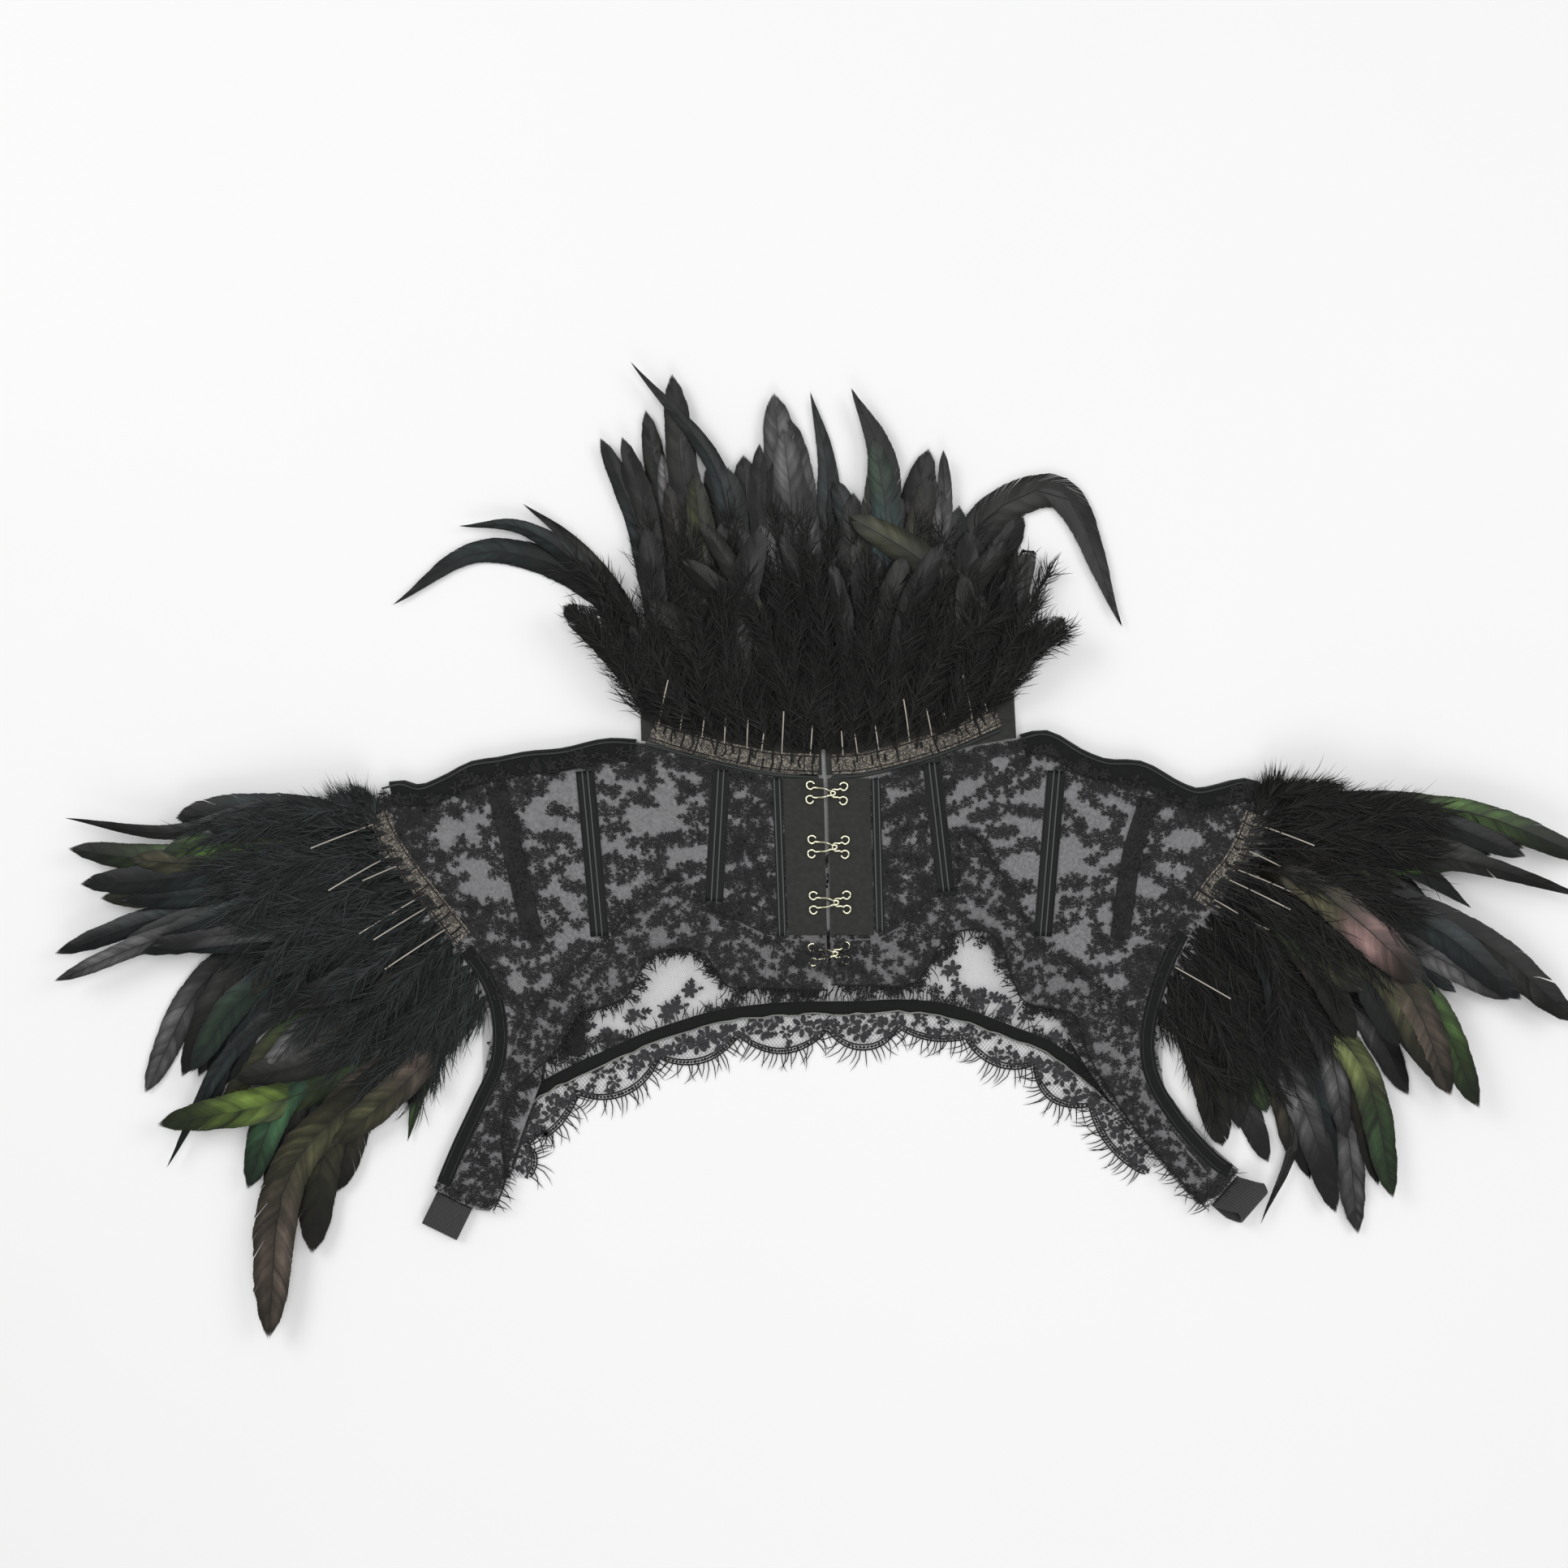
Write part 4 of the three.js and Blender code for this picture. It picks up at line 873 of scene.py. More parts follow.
low = evenLine(hems["back"][2:-1], 260)
crinkle = np.interp(np.arange(260), np.arange(0, 261, 4), np.random.default_rng(23).normal(0, 0.35, 66))[:, None]
newPiece("bindingEdge", cord(low + headings(low)[1] * (3.0 + crinkle), 2.6, 0.42), paleEdge, "velvet")
print("ribbons sewn")


# Pieces that keep their solid's form, with soft edges.
rounding = {"width": 0.28, "steps": 2, "from": 40, "smoothTo": 50}


def softened(node, name, material, slot):
    piece = copyOf(node, name, material)[0]
    bpy.ops.mesh.tris_convert_to_quads(face_threshold=0.5, shape_threshold=0.5)
    bpy.ops.object.mode_set(mode="OBJECT")
    bevel = piece.modifiers.new("round", "BEVEL")
    bevel.width = rounding["width"] * mm
    bevel.segments = rounding["steps"]
    bevel.limit_method = "ANGLE"
    bevel.angle_limit = math.radians(rounding["from"])
    bpy.ops.object.modifier_apply(modifier="round")
    bpy.ops.object.shade_smooth_by_angle(angle=math.radians(rounding["smoothTo"]))
    settle(piece, slot, node)


soft = {
    "collar": ("collarBand", twill, "twill"),
    "facing_l": ("facingL", twill, "twill"),
    "facing_r": ("facingR", twill, "twill"),
    "shoulder_binding_l": ("shoulderBindingL", velvet, "velvet"),
    "shoulder_binding_r": ("shoulderBindingR", velvet, "velvet"),
    "elastic_l": ("elasticL", elasticMaterial("elasticLeft", math.radians(116)), "elastic"),
    "elastic_r": ("elasticR", elasticMaterial("elasticRight", math.radians(41)), "elastic"),
}
for node, facts in soft.items():
    softened(node, *facts)
print("edges softened")


# Hooks and eyes, bent from wire.
fasteners = {"ring": 1.9, "wire": 0.55, "height": 6.5,
             "at": [(2.2, 49.2, -2), (3.0, 22.8, -1), (3.8, -4.4, 1), (3.4, -29.5, 3)]}  # x, y and degrees


def ringOf(x, y, start, end, count=18):
    a = np.radians(np.linspace(start, end, count))
    return [(x + fasteners["ring"] * math.cos(t), y + fasteners["ring"] * math.sin(t), 0.0) for t in a]


def bentWire(name, half, nose, place, node):  # half of the wire, mirrored round its nose
    rows = half + nose + [(x, -y, z) for x, y, z in half[::-1]]
    line = evenLine(rows, 110)
    curve = bpy.data.curves.new(name, "CURVE")
    curve.dimensions = "3D"
    curve.bevel_depth = fasteners["wire"] * mm
    curve.bevel_resolution = 2
    curve.use_fill_caps = True
    spline = curve.splines.new("POLY")
    spline.points.add(len(line) - 1)
    x0, y0, turn = place
    c, s = math.cos(math.radians(turn)), math.sin(math.radians(turn))
    for point, (x, y, z) in zip(spline.points, line):
        point.co = ((x * c - y * s + x0) * mm, (x * s + y * c + y0) * mm, (z + fasteners["height"]) * mm, 1)
    piece = bpy.data.objects.new(name, curve)
    bpy.context.collection.objects.link(piece)
    selectOnly(piece)
    bpy.ops.object.convert(target="MESH")
    piece = bpy.context.object
    piece.data.materials.append(nickel)
    piece.data.shade_smooth()
    settle(piece, "nickel", node)


for k, place in enumerate(fasteners["at"], 1):
    hook = ringOf(-9.4, 3.5, 20, 325) + [(-5.6, 2.3, 0.1), (-2.4, 2.1, 0.7), (0.2, 1.1, 1.55), (2.2, 0.9, 1.55)]
    bentWire(f"hook{k}", hook, [(2.9, 0, 1.55)], place, f"hook_{k}")
    eye = ringOf(6.9, 3.5, 160, -145) + [(4.4, 1.9, 0), (1.6, 1.7, 0)]
    bentWire(f"eye{k}", eye, [(0.7, 0, 0)], place, f"eye_{k}")
lapped = []  # lace that laps the lowest hook
rng = np.random.default_rng(31)
for x, y in ((-8, -31), (-5, -26), (-11, -35), (-1, -36), (11, -31), (9, -26), (14, -35), (6, -37)):
    points, faces = turned(sprig(rng, 2, 4.0), rng.normal(0, 0.5), x, y, 0.85)
    rise = 8.5 - 2.0 * ease(5, 13, np.hypot(points[:, 0] - 2, points[:, 1] + 31))
    points[:, 2] += np.maximum(rise, 6.4)
    lapped.append((points, faces))
newPiece("lappedSprigs", joined(lapped), lacework, "galloon", smooth=False)
print("hooks fastened")


# The feathers.
kinds = {  # base tint, sheen (colour of a painted highlight patch, on the coloured kinds also the feather's own colour), strength of the sheen, where the feather comes to the top, second sheen (a second colour patch, dimmed with the painted highlight)
    "black": (rgb(12, 12, 11), rgb(66, 66, 63), 0.6, None, rgb(30, 30, 28)),
    "ink": (rgb(12, 14, 15), rgb(52, 63, 64), 0.6, None, rgb(38, 40, 36)),
    "shade": (rgb(11, 11, 10), rgb(26, 26, 25), 0.5, None, rgb(30, 29, 26)),
    "umber": (rgb(13, 12, 10), rgb(68, 64, 50), 0.62, None, rgb(36, 38, 33)),
    "moss": (rgb(13, 13, 10), rgb(46, 46, 35), 0.7, 0.3, rgb(78, 80, 52)),
    "green": (rgb(20, 23, 18), rgb(82, 112, 58), 0.85, None, rgb(84, 80, 60)),
    "leaf": (rgb(28, 34, 22), rgb(116, 140, 66), 0.95, 0.6, rgb(48, 66, 36)),
    "jade": (rgb(18, 24, 19), rgb(66, 104, 72), 0.9, 0.55, rgb(52, 84, 76)),
    "olive": (rgb(24, 26, 20), rgb(126, 136, 84), 0.85, 0.45, rgb(60, 86, 56)),
    "teal": (rgb(17, 24, 25), rgb(76, 102, 104), 0.7, 0.45, rgb(58, 78, 58)),
    "bronze": (rgb(22, 21, 17), rgb(84, 84, 60), 0.8, 0.35, rgb(112, 100, 90)),
    "rose": (rgb(26, 24, 19), rgb(152, 122, 119), 0.9, 0.05, rgb(92, 90, 64)),
    "grey": (rgb(24, 24, 25), rgb(132, 130, 131), 0.56, None, rgb(60, 60, 58)),
    "down": (rgb(20, 20, 20), rgb(24, 24, 24), 0.1, None, rgb(24, 24, 24)),
}


def outline(share, sharp):  # half width of a vane along its shaft, as a share of the widest
    if sharp:
        return np.interp(share, [0, 0.1, 0.3, 0.5, 0.7, 0.85, 1], [0, 0.3, 0.8, 1, 0.82, 0.48, 0.02])
    return np.interp(share, [0, 0.1, 0.3, 0.55, 0.78, 0.9, 0.96, 1], [0, 0.3, 0.72, 0.94, 1, 0.8, 0.5, 0.05])


def vaneOf(shaft, wide, kind, sharp, start, pitch, rng, roll):
    long = lengthOf(shaft[:, :2])
    along, side = headings(shaft[:, :2])
    base, sheen, share, _, second = kinds[kind]
    base, sheen, second = np.array(base), np.array(sheen), np.array(second)
    count = max(8, int(long * (1 - start) / pitch))
    points, faces, tints = [], [], []
    # glowAt, glowLong and glowSide place a painted highlight: a lighter patch along the vane, brighter on one half
    glowAt = 0.76 if kind == "leaf" else rng.uniform(0.5, 0.8) + (0.12 if kind == "grey" else 0)
    glowLong = rng.uniform(0.1, 0.16) if kind in ("grey", "rose", "bronze") else rng.uniform(0.08, 0.19)
    glowSide = 1 if rng.random() < 0.5 else -1
    nextAt = glowAt + (0.26 if glowAt < 0.62 else -0.28)
    loose = 0.12 if rng.random() < 0.25 else 0.04
    for hand in (-1, 1):
        u = np.linspace(0, 1, count)
        s0 = start + (0.99 - start) * u * (1.25 - 0.25 * u)
        splits = np.sort(rng.uniform(start, 1, rng.integers(2, 6)))
        tuft = rng.normal(0, 1, len(splits) + 1)[np.searchsorted(splits, s0)]
        lean = (1.15 + loose * tuft) * outline(s0, sharp) * wide / 2 / long * (1 - 0.7 * ease(0.82, 1, s0))
        s1 = np.minimum(s0 + lean + 0.01, 0.997 + 0.003 * (s0 - start) / (1 - start))
        clump = np.interp(s0, np.linspace(start, 1, count // 4 + 2), rng.normal(0, 1, count // 4 + 2))
        streak = np.interp(s0, np.linspace(start, 1, count // 2 + 2), rng.normal(0, 1, count // 2 + 2))
        ragged = rng.normal(0, 0.012, count)
        barbTone = np.clip(1 + 0.07 * rng.normal(0, 1, count) + 0.05 * clump + loose * 0.6 * tuft, 0.35, 1.8)
        barbLift = rng.normal(0, 0.07, count)
        fuller = 0.92 if hand < 0 else 1.05
        reach = outline(np.clip(s1, 0, 1), sharp) * wide / 2 * (1 + ragged + 0.02 * clump) * fuller
        # shine is painted shading across each half-vane: lighter in the middle, darker at the shaft and at the edge
        for t, w, shine in ((0.0, 0.8, 0.55), (0.5, 0.9, 1.0), (1.0, 0.95, 0.3)):
            st = s0 + (s1 - s0) * t ** 1.25
            p = sample(shaft, np.clip(st, 0, 1))
            n = sample(side, np.clip(st, 0, 1))
            a = sample(along, np.clip(st, 0, 1))
            out = reach * t ** 0.85
            z = p[:, 2] - 1.3 * (out / (wide / 2 + 1e-6)) ** 2 + hand * out * roll + (0.12 * clump + barbLift) * t
            xy = p[:, :2] + n * (hand * out)[:, None]
            for sign in (-1, 1):
                points.append(np.c_[xy + a * (sign * w * pitch * 0.75), z])
            # lit is the strength of the painted highlight, broken into streaks along the shaft
            lit = share * shine * (1 if hand == glowSide else 0.6)
            lit = lit * np.clip(0.9 + 0.14 * clump + 0.24 * streak, 0.1, 1.6)
            glow = np.clip(np.exp(-((st - glowAt) / glowLong) ** 2) * lit, 0, 1)[:, None]
            after = np.clip(0.8 * np.exp(-((st - nextAt) / 0.15) ** 2) * lit, 0, 1)[:, None]
            colour = base + (sheen - base) * glow
            colour = colour + (second - colour) * after * (1 - glow)
            colour = colour * barbTone[:, None]
            tints += [colour, colour]
    allPoints, allTints = (np.stack(rows, 0).reshape(2, 3, 2, count, 3).transpose(0, 3, 1, 2, 4).reshape(-1, 3)
                           for rows in (points, tints))
    starts = np.arange(2 * count) * 6
    right = np.arange(2 * count) >= count
    for loop in ([0, 1, 3, 2], [2, 3, 5, 4]):
        quads = starts[:, None] + np.array(loop)
        quads[~right] = quads[~right][:, ::-1]
        faces += quads[:, ::-1].tolist()
    keep = shaft[:: max(1, len(shaft) // 12)]  # the shaft itself, a low ridge that thins towards the tip
    kSide = headings(keep[:, :2])[1]
    half = np.linspace(0.55, 0.12, len(keep))[:, None]
    ridge = np.stack([np.c_[keep[:, :2] - kSide * half, keep[:, 2] + 0.05],
                      np.c_[keep[:, :2], keep[:, 2] + 0.1 + half[:, 0]],
                      np.c_[keep[:, :2] + kSide * half, keep[:, 2] + 0.05]], 1).reshape(-1, 3)
    faces += gridFaces(len(keep), 3, len(allPoints), True)
    allPoints = np.vstack([allPoints, ridge])
    allTints = np.vstack([allTints, np.tile(base * 0.8 + 0.01, (len(ridge), 1))])
    return (allPoints, faces), allTints


def downOf(shaft, count, reach, low, high, rng, lift, wild, edge=None):  # loose barbs that spring from a shaft
    along, side = headings(shaft[:, :2])
    s = low + (high - low) * rng.random(count) ** 0.9
    p = sample(shaft, s)
    a, n = sample(along, s), sample(side, s)
    hand = np.where(rng.random(count) < 0.5, -1.0, 1.0)
    angle = rng.uniform(0.08, wild, count)
    direction = a * np.cos(angle)[:, None] + n * (hand * np.sin(angle))[:, None]
    long = reach * rng.uniform(0.55, 1.15, count) * (1 - 0.35 * s)
    if edge is not None:
        xs, ys = zip(*sorted(edge))
        tip = p[:, :2] + direction * long[:, None]
        over = tip[:, 1] - np.interp(tip[:, 0], xs, ys) - rng.uniform(0, 3, count)
        long = np.where(over > 0, np.maximum(4, long - 1.3 * over), long)
    z = p[:, 2] + rng.uniform(-0.5, lift, count)
    return hairs(p[:, :2], direction, long, -hand * rng.uniform(0.0, 0.6, count) + rng.normal(0, 0.12, count), z,
                 rng.uniform(-0.8, 2.2, count), rng.uniform(0.28, 0.55, count))


def fan(line, count, low, high, turnLow, turnHigh, longLow, longHigh, wide, sway, rng, mix):
    rows = []
    for k in range(count):
        part = k / (count - 1)
        x, y = sample(line, low + (high - low) * part)
        turn = math.radians(turnLow + (turnHigh - turnLow) * part + rng.normal(0, 6))
        long = (longLow + (longHigh - longLow) * part) * rng.uniform(0.64, 1.1)
        bend = sway + rng.normal(0, 0.15)
        spots = [(x + share * long * math.cos(turn + lean), y + share * long * math.sin(turn + lean))
                 for share, lean in ((0.35, 0), (0.7, bend / 2), (1.0, bend))]
        rows.append(([(x, y), *spots], wide * rng.uniform(0.65, 1.15), mix[rng.integers(0, len(mix))],
                     rng.random() < 0.3))
    return rows


def rooted(line, rows):  # the feathers placed one by one, each from its share of the heading
    out = []
    for at, ax, ay, bx, by, tipX, tipY, wide, kind, *sharp in rows:
        x, y = sample(line, at)
        out.append(([(x, y), (ax, ay), (bx, by), (tipX, tipY)], wide, kind, bool(sharp)))
    return out


darkMix = ["black", "umber", "ink", "black", "grey", "umber"]
frontMix = ["shade", "shade", "umber"]
wingMix = ["black", "green", "ink", "bronze", "black", "grey", "ink", "umber"]
front, back = {"rise": "front"}, {"rise": "back", "root": 1.9}
collarFront = {"hand": [], "root": 5.2, "mix": frontMix, "quills": 8, "down": 250, "fluff": 88,
               "downTint": rgb(35, 35, 34)}
wing = {"mix": wingMix, "down": 165}
leftWing = {**wing, "fluff": 92, "downTint": rgb(45, 48, 48)}
rightWing = {**wing, "fluff": 88, "downTint": rgb(35, 35, 34)}
# hand: share of the heading, two points of the shaft, its tip, width, kind, and 1 where the tip is sharp
# fans: count, then first and last share of the heading, turn and length, then width and sway
# edge: the wing's top line, which its down stays under
trims = {
    "collar_trim_l": {
        **front, **collarFront, "quillTurn": (88, 80),
        "line": [(-3, 63.2), (-24.8, 64.6), (-46, 68.6), (-66, 73.8), (-85, 79.8)],
        "fans": [(9, 0.03, 0.97, 95, 112, 124, 92, 14, 0.06), (13, 0.02, 0.98, 96, 120, 92, 66, 13, 0.03),
                 (3, 0.0, 0.08, 88, 94, 58, 48, 10, 0.0)]},
    "collar_trim_r": {
        **front, **collarFront, "quillTurn": (94, 112),
        "line": [(3.4, 63.2), (19, 64.4), (39.6, 69.4), (60, 75.8), (85, 86.8)],
        "fans": [(9, 0.03, 0.97, 86, 76, 126, 86, 14, -0.06), (13, 0.02, 0.98, 85, 70, 90, 62, 13, -0.03),
                 (3, 0.0, 0.08, 94, 88, 58, 48, 10, 0.0)]},
    "collar_trim_back": {
        **back, "mix": darkMix, "quills": 0, "down": 150, "fluff": 95, "downTint": rgb(38, 38, 37),
        "line": [(-83, 83), (-60, 88), (-30, 92), (0, 93.5), (30, 92.5), (60, 89.5), (85, 85.5)],
        "hand": [
            (0.01, -112, 148, -168, 168, -212, 142, 15, "ink", 1),
            (0.05, -103, 146, -126, 174, -148, 191, 10, "black", 1),
            (0.14, -74, 140, -82, 200, -88, 237, 12, "black"), (0.2, -66, 140, -70, 204, -75, 254, 15, "black"),
            (0.36, -50, 140, -52, 188, -56, 212, 17, "ink"), (0.42, -36, 140, -38, 184, -40, 215, 17, "black"),
            (0.5, -16, 140, -20, 196, -25, 245, 19, "grey"), (0.56, 1, 140, 1, 210, -7, 246, 14, "ink", 1),
            (0.62, 18, 140, 28, 210, 13, 247, 21, "black", 1), (0.7, 36, 140, 44, 190, 51, 218, 17, "black"),
            (0.76, 48, 140, 58, 182, 58, 217, 8, "grey"), (0.86, 62, 130, 68, 156, 69, 176, 14, "black"),
            (0.97, 85, 120, 99, 168, 95, 127, 12, "black", 1),
            (0.03, -110, 150, -148, 179, -179, 180, 12, "ink", 1),
            (0.1, -84, 140, -94, 186, -110, 223, 11, "ink"), (0.3, -44, 140, -52, 205, -95, 260, 11, "ink", 1),
            (0.45, -26, 150, -33, 190, -32, 220, 10, "black"), (0.94, 73, 176, 114, 198, 146, 131, 19, "black", 1),
            (0.25, -56, 130, -60, 170, -64, 205, 14, "moss"), (0.66, 24, 130, 30, 180, 24, 222, 15, "teal"),
            (0.8, 54, 130, 62, 165, 66, 190, 13, "ink"), (0.06, -78, 128, -64, 158, -40, 184, 14, "umber"),
            (0.57, 8, 130, 12, 164, 14, 196, 14, "black"), (0.6, 14, 130, 22, 160, 30, 186, 13, "umber"),
            (0.92, 74, 126, 50, 160, 12, 184, 16, "moss")],
        "fans": [(16, 0.04, 0.96, 102, 80, 108, 96, 15, 0.0), (16, 0.02, 0.98, 104, 78, 84, 74, 13, 0.04)]},
    "arm_trim_front_l": {
        **front, **leftWing, "root": None, "quills": 6, "quillTurn": (205, 212),
        "line": [(-219, 39), (-213.4, 26), (-202, 9), (-188.6, -8), (-177.5, -22)],
        "hand": [
            (0.04, -244, 41, -281, 41, -316, 37, 16, "ink"), (0.14, -262, 44, -316, 30, -369, 37, 9, "black", 1),
            (0.24, -262, 30, -322, 17, -368, 22, 14, "green"), (0.34, -262, 18, -318, 8, -361, 5, 15, "ink"),
            (0.44, -258, 8, -312, 0, -352, -2, 14, "green"), (0.54, -252, -4, -318, -10, -375, -29, 12, "ink"),
            (0.64, -246, -12, -312, -18, -374, -42, 10, "grey"),
            (0.74, -240, -20, -296, -23, -338, -21, 13, "ink")],
        "fans": [(11, 0.05, 0.97, 182, 218, 106, 90, 15, 0.05), (12, 0.04, 0.98, 183, 226, 80, 70, 14, 0.05),
                 (5, 0.0, 0.18, 142, 176, 30, 64, 10, 0.2), (5, 0.0, 0.04, 64, 128, 10, 20, 8, 0.1)],
        "edge": [(-420, 26), (-316, 36), (-263, 42), (-235, 47), (-206, 51)]},
    "arm_trim_back_l": {
        **back, **leftWing, "quills": 0,
        "line": [(-213, 38), (-208, 22), (-196, 4), (-183, -12), (-171, -28), (-161, -46)],
        "hand": [
            (0.3, -250, -14, -302, -40, -334, -98, 15, "grey"), (0.42, -240, -24, -286, -52, -310, -87, 15, "teal"),
            (0.5, -232, -38, -286, -72, -322, -134, 11, "ink", 1),
            (0.62, -206, -70, -256, -98, -324, -112, 18, "leaf"),
            (0.72, -206, -64, -262, -96, -282, -144, 18, "jade"),
            (0.8, -208, -82, -260, -134, -271, -216, 21, "bronze"),
            (0.88, -190, -76, -218, -104, -240, -122, 16, "bronze"),
            (0.36, -240, -30, -284, -56, -304, -112, 13, "ink"),
            (0.55, -226, -44, -262, -68, -296, -106, 15, "green"),
            (0.59, -218, -52, -252, -86, -284, -120, 14, "umber")],
        "fans": [(12, 0.05, 0.95, 188, 236, 112, 84, 15, 0.08), (13, 0.05, 0.97, 184, 244, 84, 60, 14, 0.05)]},
    "arm_trim_front_r": {
        **front, **rightWing, "root": None, "quills": 5, "quillTurn": (-22, -30),
        "line": [(211, 39), (206, 26), (200, 15), (191, 4), (184.5, -5)],
        "hand": [
            (0.06, 244, 45, 288, 44, 332, 35, 12, "black"), (0.16, 250, 42, 312, 40, 375, 16, 14, "green"),
            (0.26, 250, 32, 296, 30, 324, 19, 13, "black"), (0.36, 248, 22, 312, 16, 371, -2, 12, "black", 1),
            (0.5, 246, 8, 318, -22, 366, -62, 18, "black"), (0.6, 240, -4, 296, -30, 332, -51, 13, "grey"),
            (0.55, 226, 9, 258, -13, 288, -42, 20, "rose"), (0.72, 234, -8, 280, -44, 303, -97, 19, "bronze"),
            (0.84, 230, -18, 288, -46, 317, -103, 17, "green")],
        "fans": [(11, 0.04, 0.96, -3, -42, 108, 98, 15, -0.05), (12, 0.03, 0.98, -2, -50, 82, 74, 14, -0.05),
                 (6, 0.0, 0.22, 44, 6, 36, 76, 10, -0.25), (3, 0.0, 0.04, 85, 50, 12, 20, 8, -0.1)],
        "edge": [(200, 54), (217, 55), (254, 57), (283, 50), (320, 41), (354, 28), (420, 8)]},
    "arm_trim_back_r": {
        **back, **rightWing, "quills": 3, "quillTurn": (-26, -34),
        "line": [(208, 38), (203, 20), (193, 4), (180, -11), (168, -28), (160, -46)],
        "hand": [
            (0.4, 234, -30, 268, -62, 287, -99, 15, "grey"), (0.52, 224, -42, 262, -84, 277, -148, 16, "olive"),
            (0.62, 216, -52, 252, -100, 262, -167, 16, "grey"), (0.72, 208, -60, 236, -108, 250, -156, 15, "grey"),
            (0.82, 196, -64, 230, -116, 214, -162, 8, "black", 1),
            (0.9, 184, -70, 204, -98, 218, -132, 13, "grey")],
        "fans": [(12, 0.05, 0.95, -10, -60, 110, 84, 15, -0.08), (13, 0.05, 0.97, -6, -68, 86, 58, 14, -0.05)]},
}


def companions(rows, count, rng):  # darker feathers between each listed one and its neighbour
    more = []
    for k, (spots, wide, kind, sharp) in enumerate(rows):
        if sharp:
            continue
        near = rows[k + 1 if k + 1 < len(rows) else k - 1][0]
        choices = ("black", "ink", kind, "umber", "grey")
        for _ in range(count):
            blend, scale = rng.uniform(0.06, 0.45), rng.uniform(0.7, 0.96)
            x0, y0 = (a + (b - a) * blend for a, b in zip(spots[0], near[0]))
            swung = [(x0 + (ax + (bx - ax) * blend - x0) * scale, y0 + (ay + (by - ay) * blend - y0) * scale)
                     for (ax, ay), (bx, by) in zip(spots, near)]
            more.append((swung, max(11, wide * rng.uniform(0.8, 1.05)), choices[rng.integers(0, 5)], False))
    return more


swing = {"tries": 16, "degrees": 3, "half": 0.4}


def keepUnder(row, edge):  # swings a feather down until it clears the top edge of the wing
    spots, wide, kind, sharp = row
    xs, ys = zip(*sorted(edge))
    x0, y0 = spots[0]
    sense = math.radians(math.copysign(swing["degrees"], -spots[-1][0]))
    for _ in range(swing["tries"]):
        if all(y + wide * swing["half"] <= np.interp(x, xs, ys) for x, y in spots[1:]):
            break
        c, s = math.cos(sense), math.sin(sense)
        spots = [(x0 + (x - x0) * c - (y - y0) * s, y0 + (x - x0) * s + (y - y0) * c) for x, y in spots]
    return spots, wide, kind, sharp


piled = {"samples": 36, "levels": 4, "step": 1.35, "frontRise": 5.8, "backRise": 2.0, "surfaced": 5.0,
         "topmost": 8.5, "floor": 0.15, "pitch": 1.1}


def shaftOf(spots, facts, level, kind, surfaces):  # a feather's middle line, raised into its layer of the pile
    line = evenLine(spots, piled["samples"])
    far = np.linspace(0, lengthOf(line), piled["samples"])
    root = facts["root"]
    if root is None:
        root = float(topOf(fronts, [spots[0]], 5.5)[0]) + 0.7
    if facts["rise"] == "front":
        z = root + (piled["frontRise"] + level * piled["step"]) * ease(2, 22, far)
    else:
        z = root + (piled["backRise"] + level * piled["step"] - root) * ease(12, 28, far)
    z = z + level * 0.3 * ease(0.5, 1, far / far[-1])
    if surfaces is not None:
        lift = piled["topmost" if kind in ("rose", "leaf") else "surfaced"]
        z = z + lift * ease(surfaces, surfaces + 0.2, far / far[-1])
    return np.c_[line, z], far[-1]


def floored(shapes):
    points, faces = joined(shapes)
    points[:, 2] = np.maximum(points[:, 2], piled["floor"])
    return points, faces


def pile(name, facts, seed):
    rng = np.random.default_rng(seed)
    line = evenLine(facts["line"], 60)
    rows = rooted(line, sorted(facts["hand"]))
    placed = len(rows)
    rows += companions(rows, 3 if name == "collar_trim_back" else 2, rng)
    for k, one in enumerate(facts["fans"]):
        rows += fan(line, *one, rng, ["down"] if k else facts["mix"])
    edge = facts.get("edge")
    if edge:
        rows = rows[:placed] + [keepUnder(row, edge) for row in rows[placed:]]
    vanes, downs, vaneTints = [], [], []
    reach, wild = (18, 1.05) if name.startswith("collar") else (24, 0.7)
    for k, (spots, wide, kind, sharp) in enumerate(rows):
        hand = k < placed
        surfaces = kinds[kind][3] if hand else None
        shown = surfaces is not None
        shaft, long = shaftOf(spots, facts, (k * 0.618) % 1 * piled["levels"], kind, surfaces)
        clear = (5.6 if long > 30 else 1.0) / long
        if kind == "down":  # a marabou plume: fluff to its very tip and no vane
            downs.append(downOf(shaft, int(facts["down"] * 1.7), reach, clear, 1.0, rng, 4.0, wild, edge))
            continue
        start = min(0.24, surfaces + 0.05) if shown else 0.24 if hand else 0.3
        shape, tint = vaneOf(shaft, wide, kind, sharp, start, piled["pitch"], rng, rng.normal(0, 0.07))
        vanes.append(shape)
        vaneTints.append(tint)
        fluffTo = min(0.3 if shown else 0.6 if hand else 0.78, facts["fluff"] / long)
        downs.append(downOf(shaft, facts["down"], reach, clear, fluffTo, rng, 2.6, wild, edge))
    newPiece("vanes" + titled(name), floored(vanes), vaneGloss, "feather", [name], tint=np.vstack(vaneTints))
    fluff = floored(downs)
    tone = 0.62 + 1.0 * rng.random(len(fluff[0]) // 7) ** 1.5
    newPiece("down" + titled(name), fluff, downMatt, "feather",
             tint=np.repeat(tone, 7)[:, None] * np.array(facts["downTint"]))
    return len(rows)


stitched = {"every": 4.2, "half": 4.8, "shortest": 2.5, "edges": (-3.6, 3.6)}
tapeProfile = [(-5, 0.25), (-4.7, 0.8), (-3, 1.0), (-1, 0.95), (1, 1.0), (3, 1.05), (4.7, 0.85), (5, 0.25)]


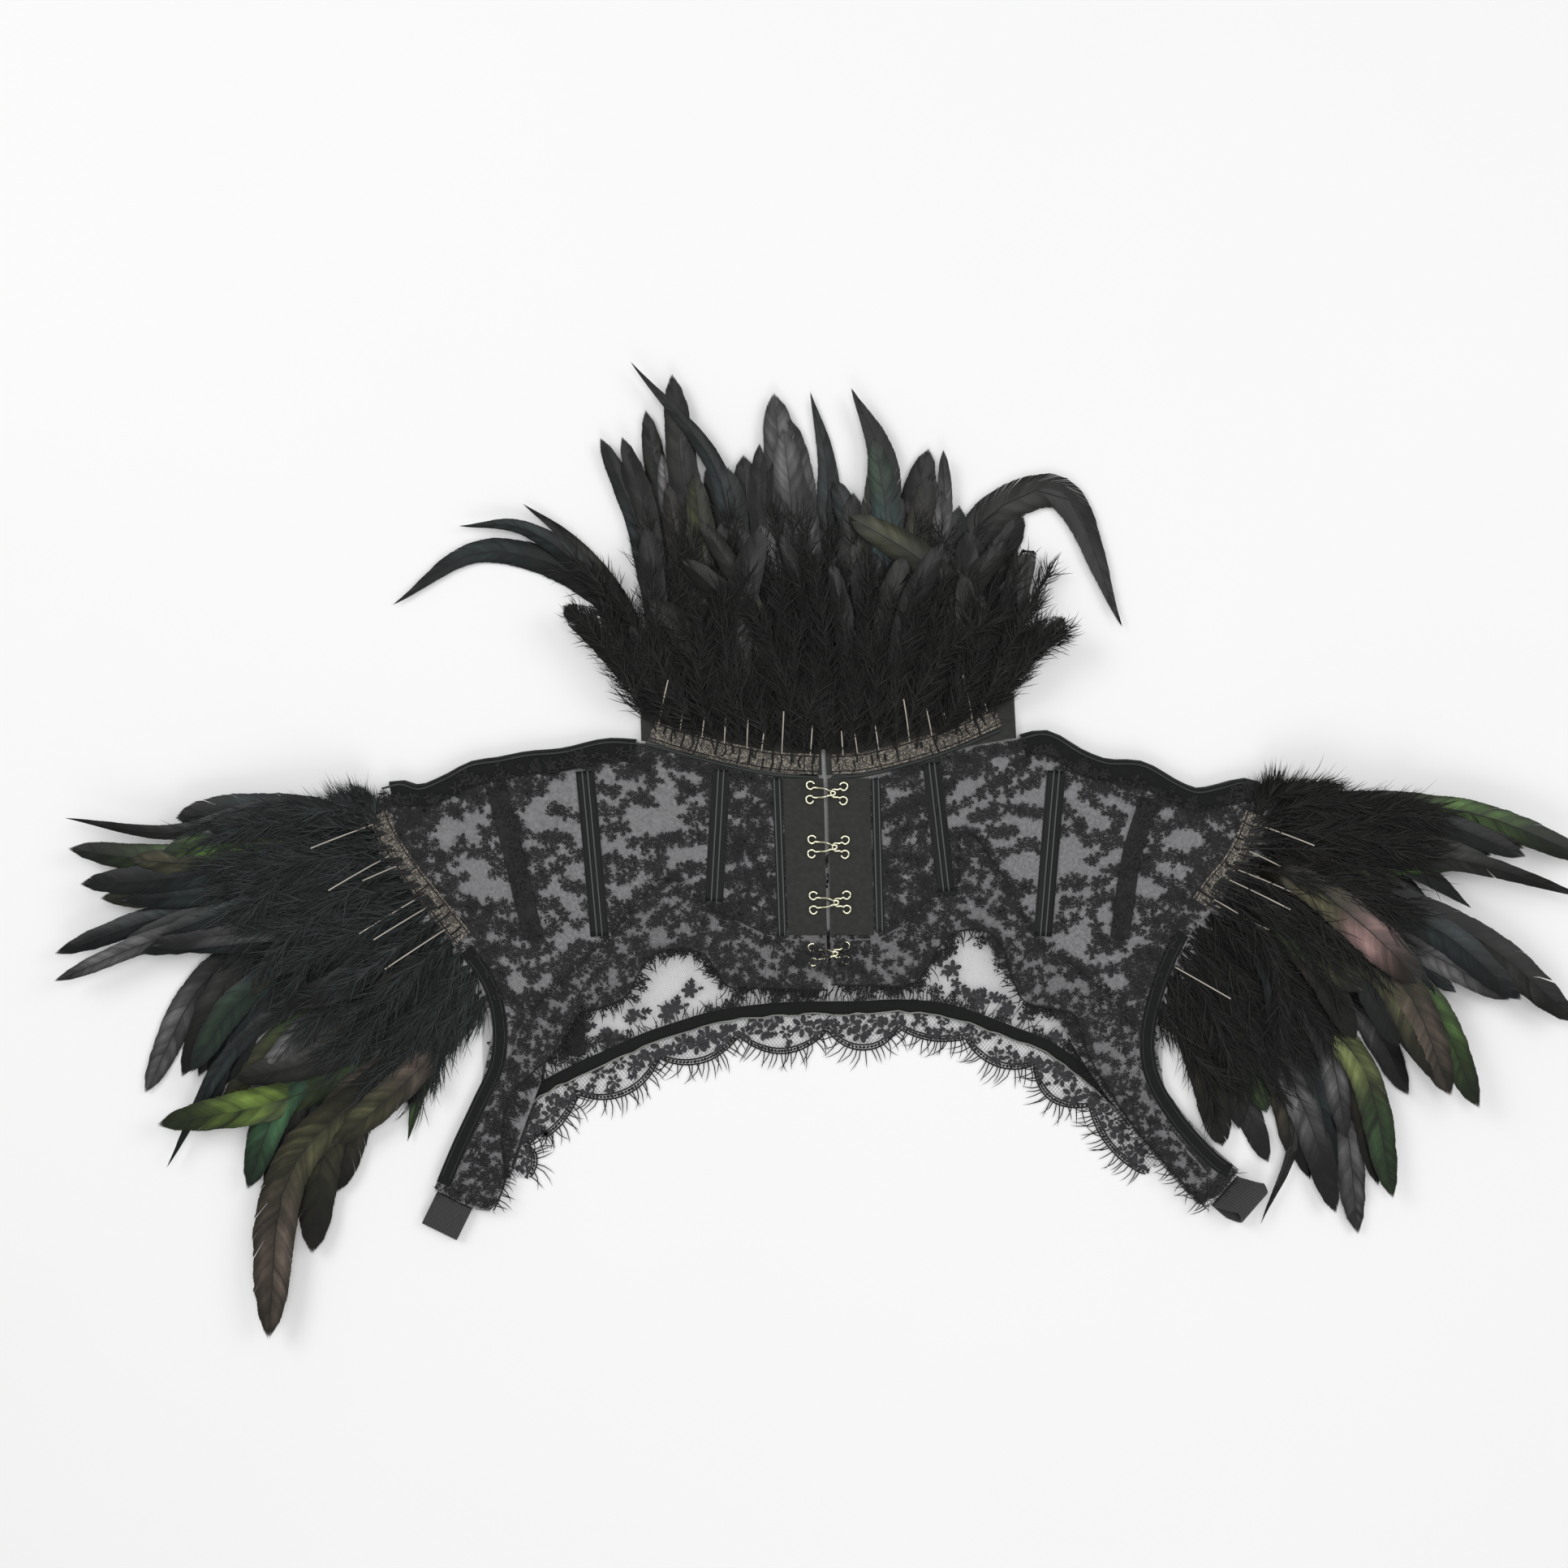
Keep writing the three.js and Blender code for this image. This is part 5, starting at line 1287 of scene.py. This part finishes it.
def headingTape(name, facts, tree, spare, seed):
    rng = np.random.default_rng(seed)
    line = evenLine(facts["line"], 90)
    shape, uv = ribbon(line, tapeProfile, tree, 0.15, spare)
    newPiece("tape" + titled(name), shape, headingCloth, "feather", [name], uv)
    side = headings(line)[1]
    stitches = []
    count = int(lengthOf(line) / stitched["every"])
    for share in (np.arange(count) + rng.uniform(0.1, 0.9, count)) / count:
        at, n = sample(line, share), sample(side, share)
        low, high = rng.uniform(-5.2, 1.0), 5.3 - abs(rng.normal(0, 2.2))
        if high - low < stitched["shortest"]:
            low, high = -stitched["half"], stitched["half"]
        way = evenLine([at + n * low, at + n * (low + high) / 2 + rng.normal(0, 0.5, 2), at + n * high], 8)
        stitches.append(cord(way, topOf(tree, way, spare) + 0.95, rng.uniform(0.15, 0.75)))
    for out in stitched["edges"]:
        way = line + side * out
        stitches.append(cord(way, topOf(tree, way, spare) + 1.1, 0.22, 4))
    newPiece("stitches" + titled(name), joined(stitches), threadDark, "feather")
    quills = []
    for k in range(facts["quills"]):
        part = (k + rng.uniform(0.2, 0.8)) / facts["quills"]
        at = sample(line, part)
        first, last = facts["quillTurn"]
        turn = math.radians(first + (last - first) * part + rng.normal(0, 3))
        long = rng.uniform(*((8, 22) if name.startswith("collar") else (10, 34)))
        direction = np.array([math.cos(turn), math.sin(turn)])
        way = evenLine([at + direction * far for far in (4.0, 4 + long / 2, 4 + long)], 9)
        root = float(topOf(tree, [at], spare)[0]) + 1.2
        t = np.linspace(0, 1, 9)
        quills.append(cord(way, root + min(long * 0.6, 13.5) * (1 - (1 - t) ** 2.2), 0.33, 6))
    if quills:
        newPiece("quills" + titled(name), joined(quills), quillHorn, "feather")


feathers = sum(pile(name, facts, 100 + k) for k, (name, facts) in enumerate(trims.items()))
print("feathers laid:", feathers)
beds = {"front": (fronts, 5.0), "back": (backTree, 1.2), "collar": (treeOf("collar"), 4.5)}
for k, (name, facts) in enumerate(trims.items()):
    onCollar = name.startswith("collar") and facts["rise"] == "front"
    headingTape(name, facts, *beds["collar" if onCollar else facts["rise"]], 200 + k)
print("headings sewn")

# The table, the lights and the air.
bpy.ops.mesh.primitive_plane_add(size=6, location=(0, 0, -0.4 * mm))
floor = bpy.context.object
floor.name = "tableFloor"
floor.data.materials.append(tableTop)

bpy.context.scene.view_settings.view_transform = "Standard"
lamps = {  # places in metres
    "over": {"at": (0.12, 0.3, 1.9), "size": 0.7, "power": 8.6, "gleam": 0.25},
    "left": {"at": (-1.1, 0.75, 1.25), "size": 0.8, "power": 9, "gleam": 1.0},
    "right": {"at": (1.15, 0.5, 1.25), "size": 0.8, "power": 6, "gleam": 1.0},
    "near": {"at": (0.1, -1.2, 1.1), "size": 0.8, "power": 5.2, "gleam": 1.0},
}
for name, facts in lamps.items():
    bpy.ops.object.light_add(type="AREA", location=facts["at"])
    lamp = bpy.context.object
    lamp.name = name
    lamp.data.size = facts["size"]
    lamp.data.energy = facts["power"]
    lamp.data.specular_factor = facts["gleam"]
    lamp.rotation_euler = (Vector((0, 0.03, 0)) - Vector(facts["at"])).to_track_quat("-Z", "Y").to_euler()
air = bpy.data.worlds.new("air")
air.use_nodes = True
glow = air.node_tree.nodes["Background"]
glow.inputs["Color"].default_value = (1, 1, 1, 1)
glow.inputs["Strength"].default_value = 0.42
bpy.context.scene.world = air
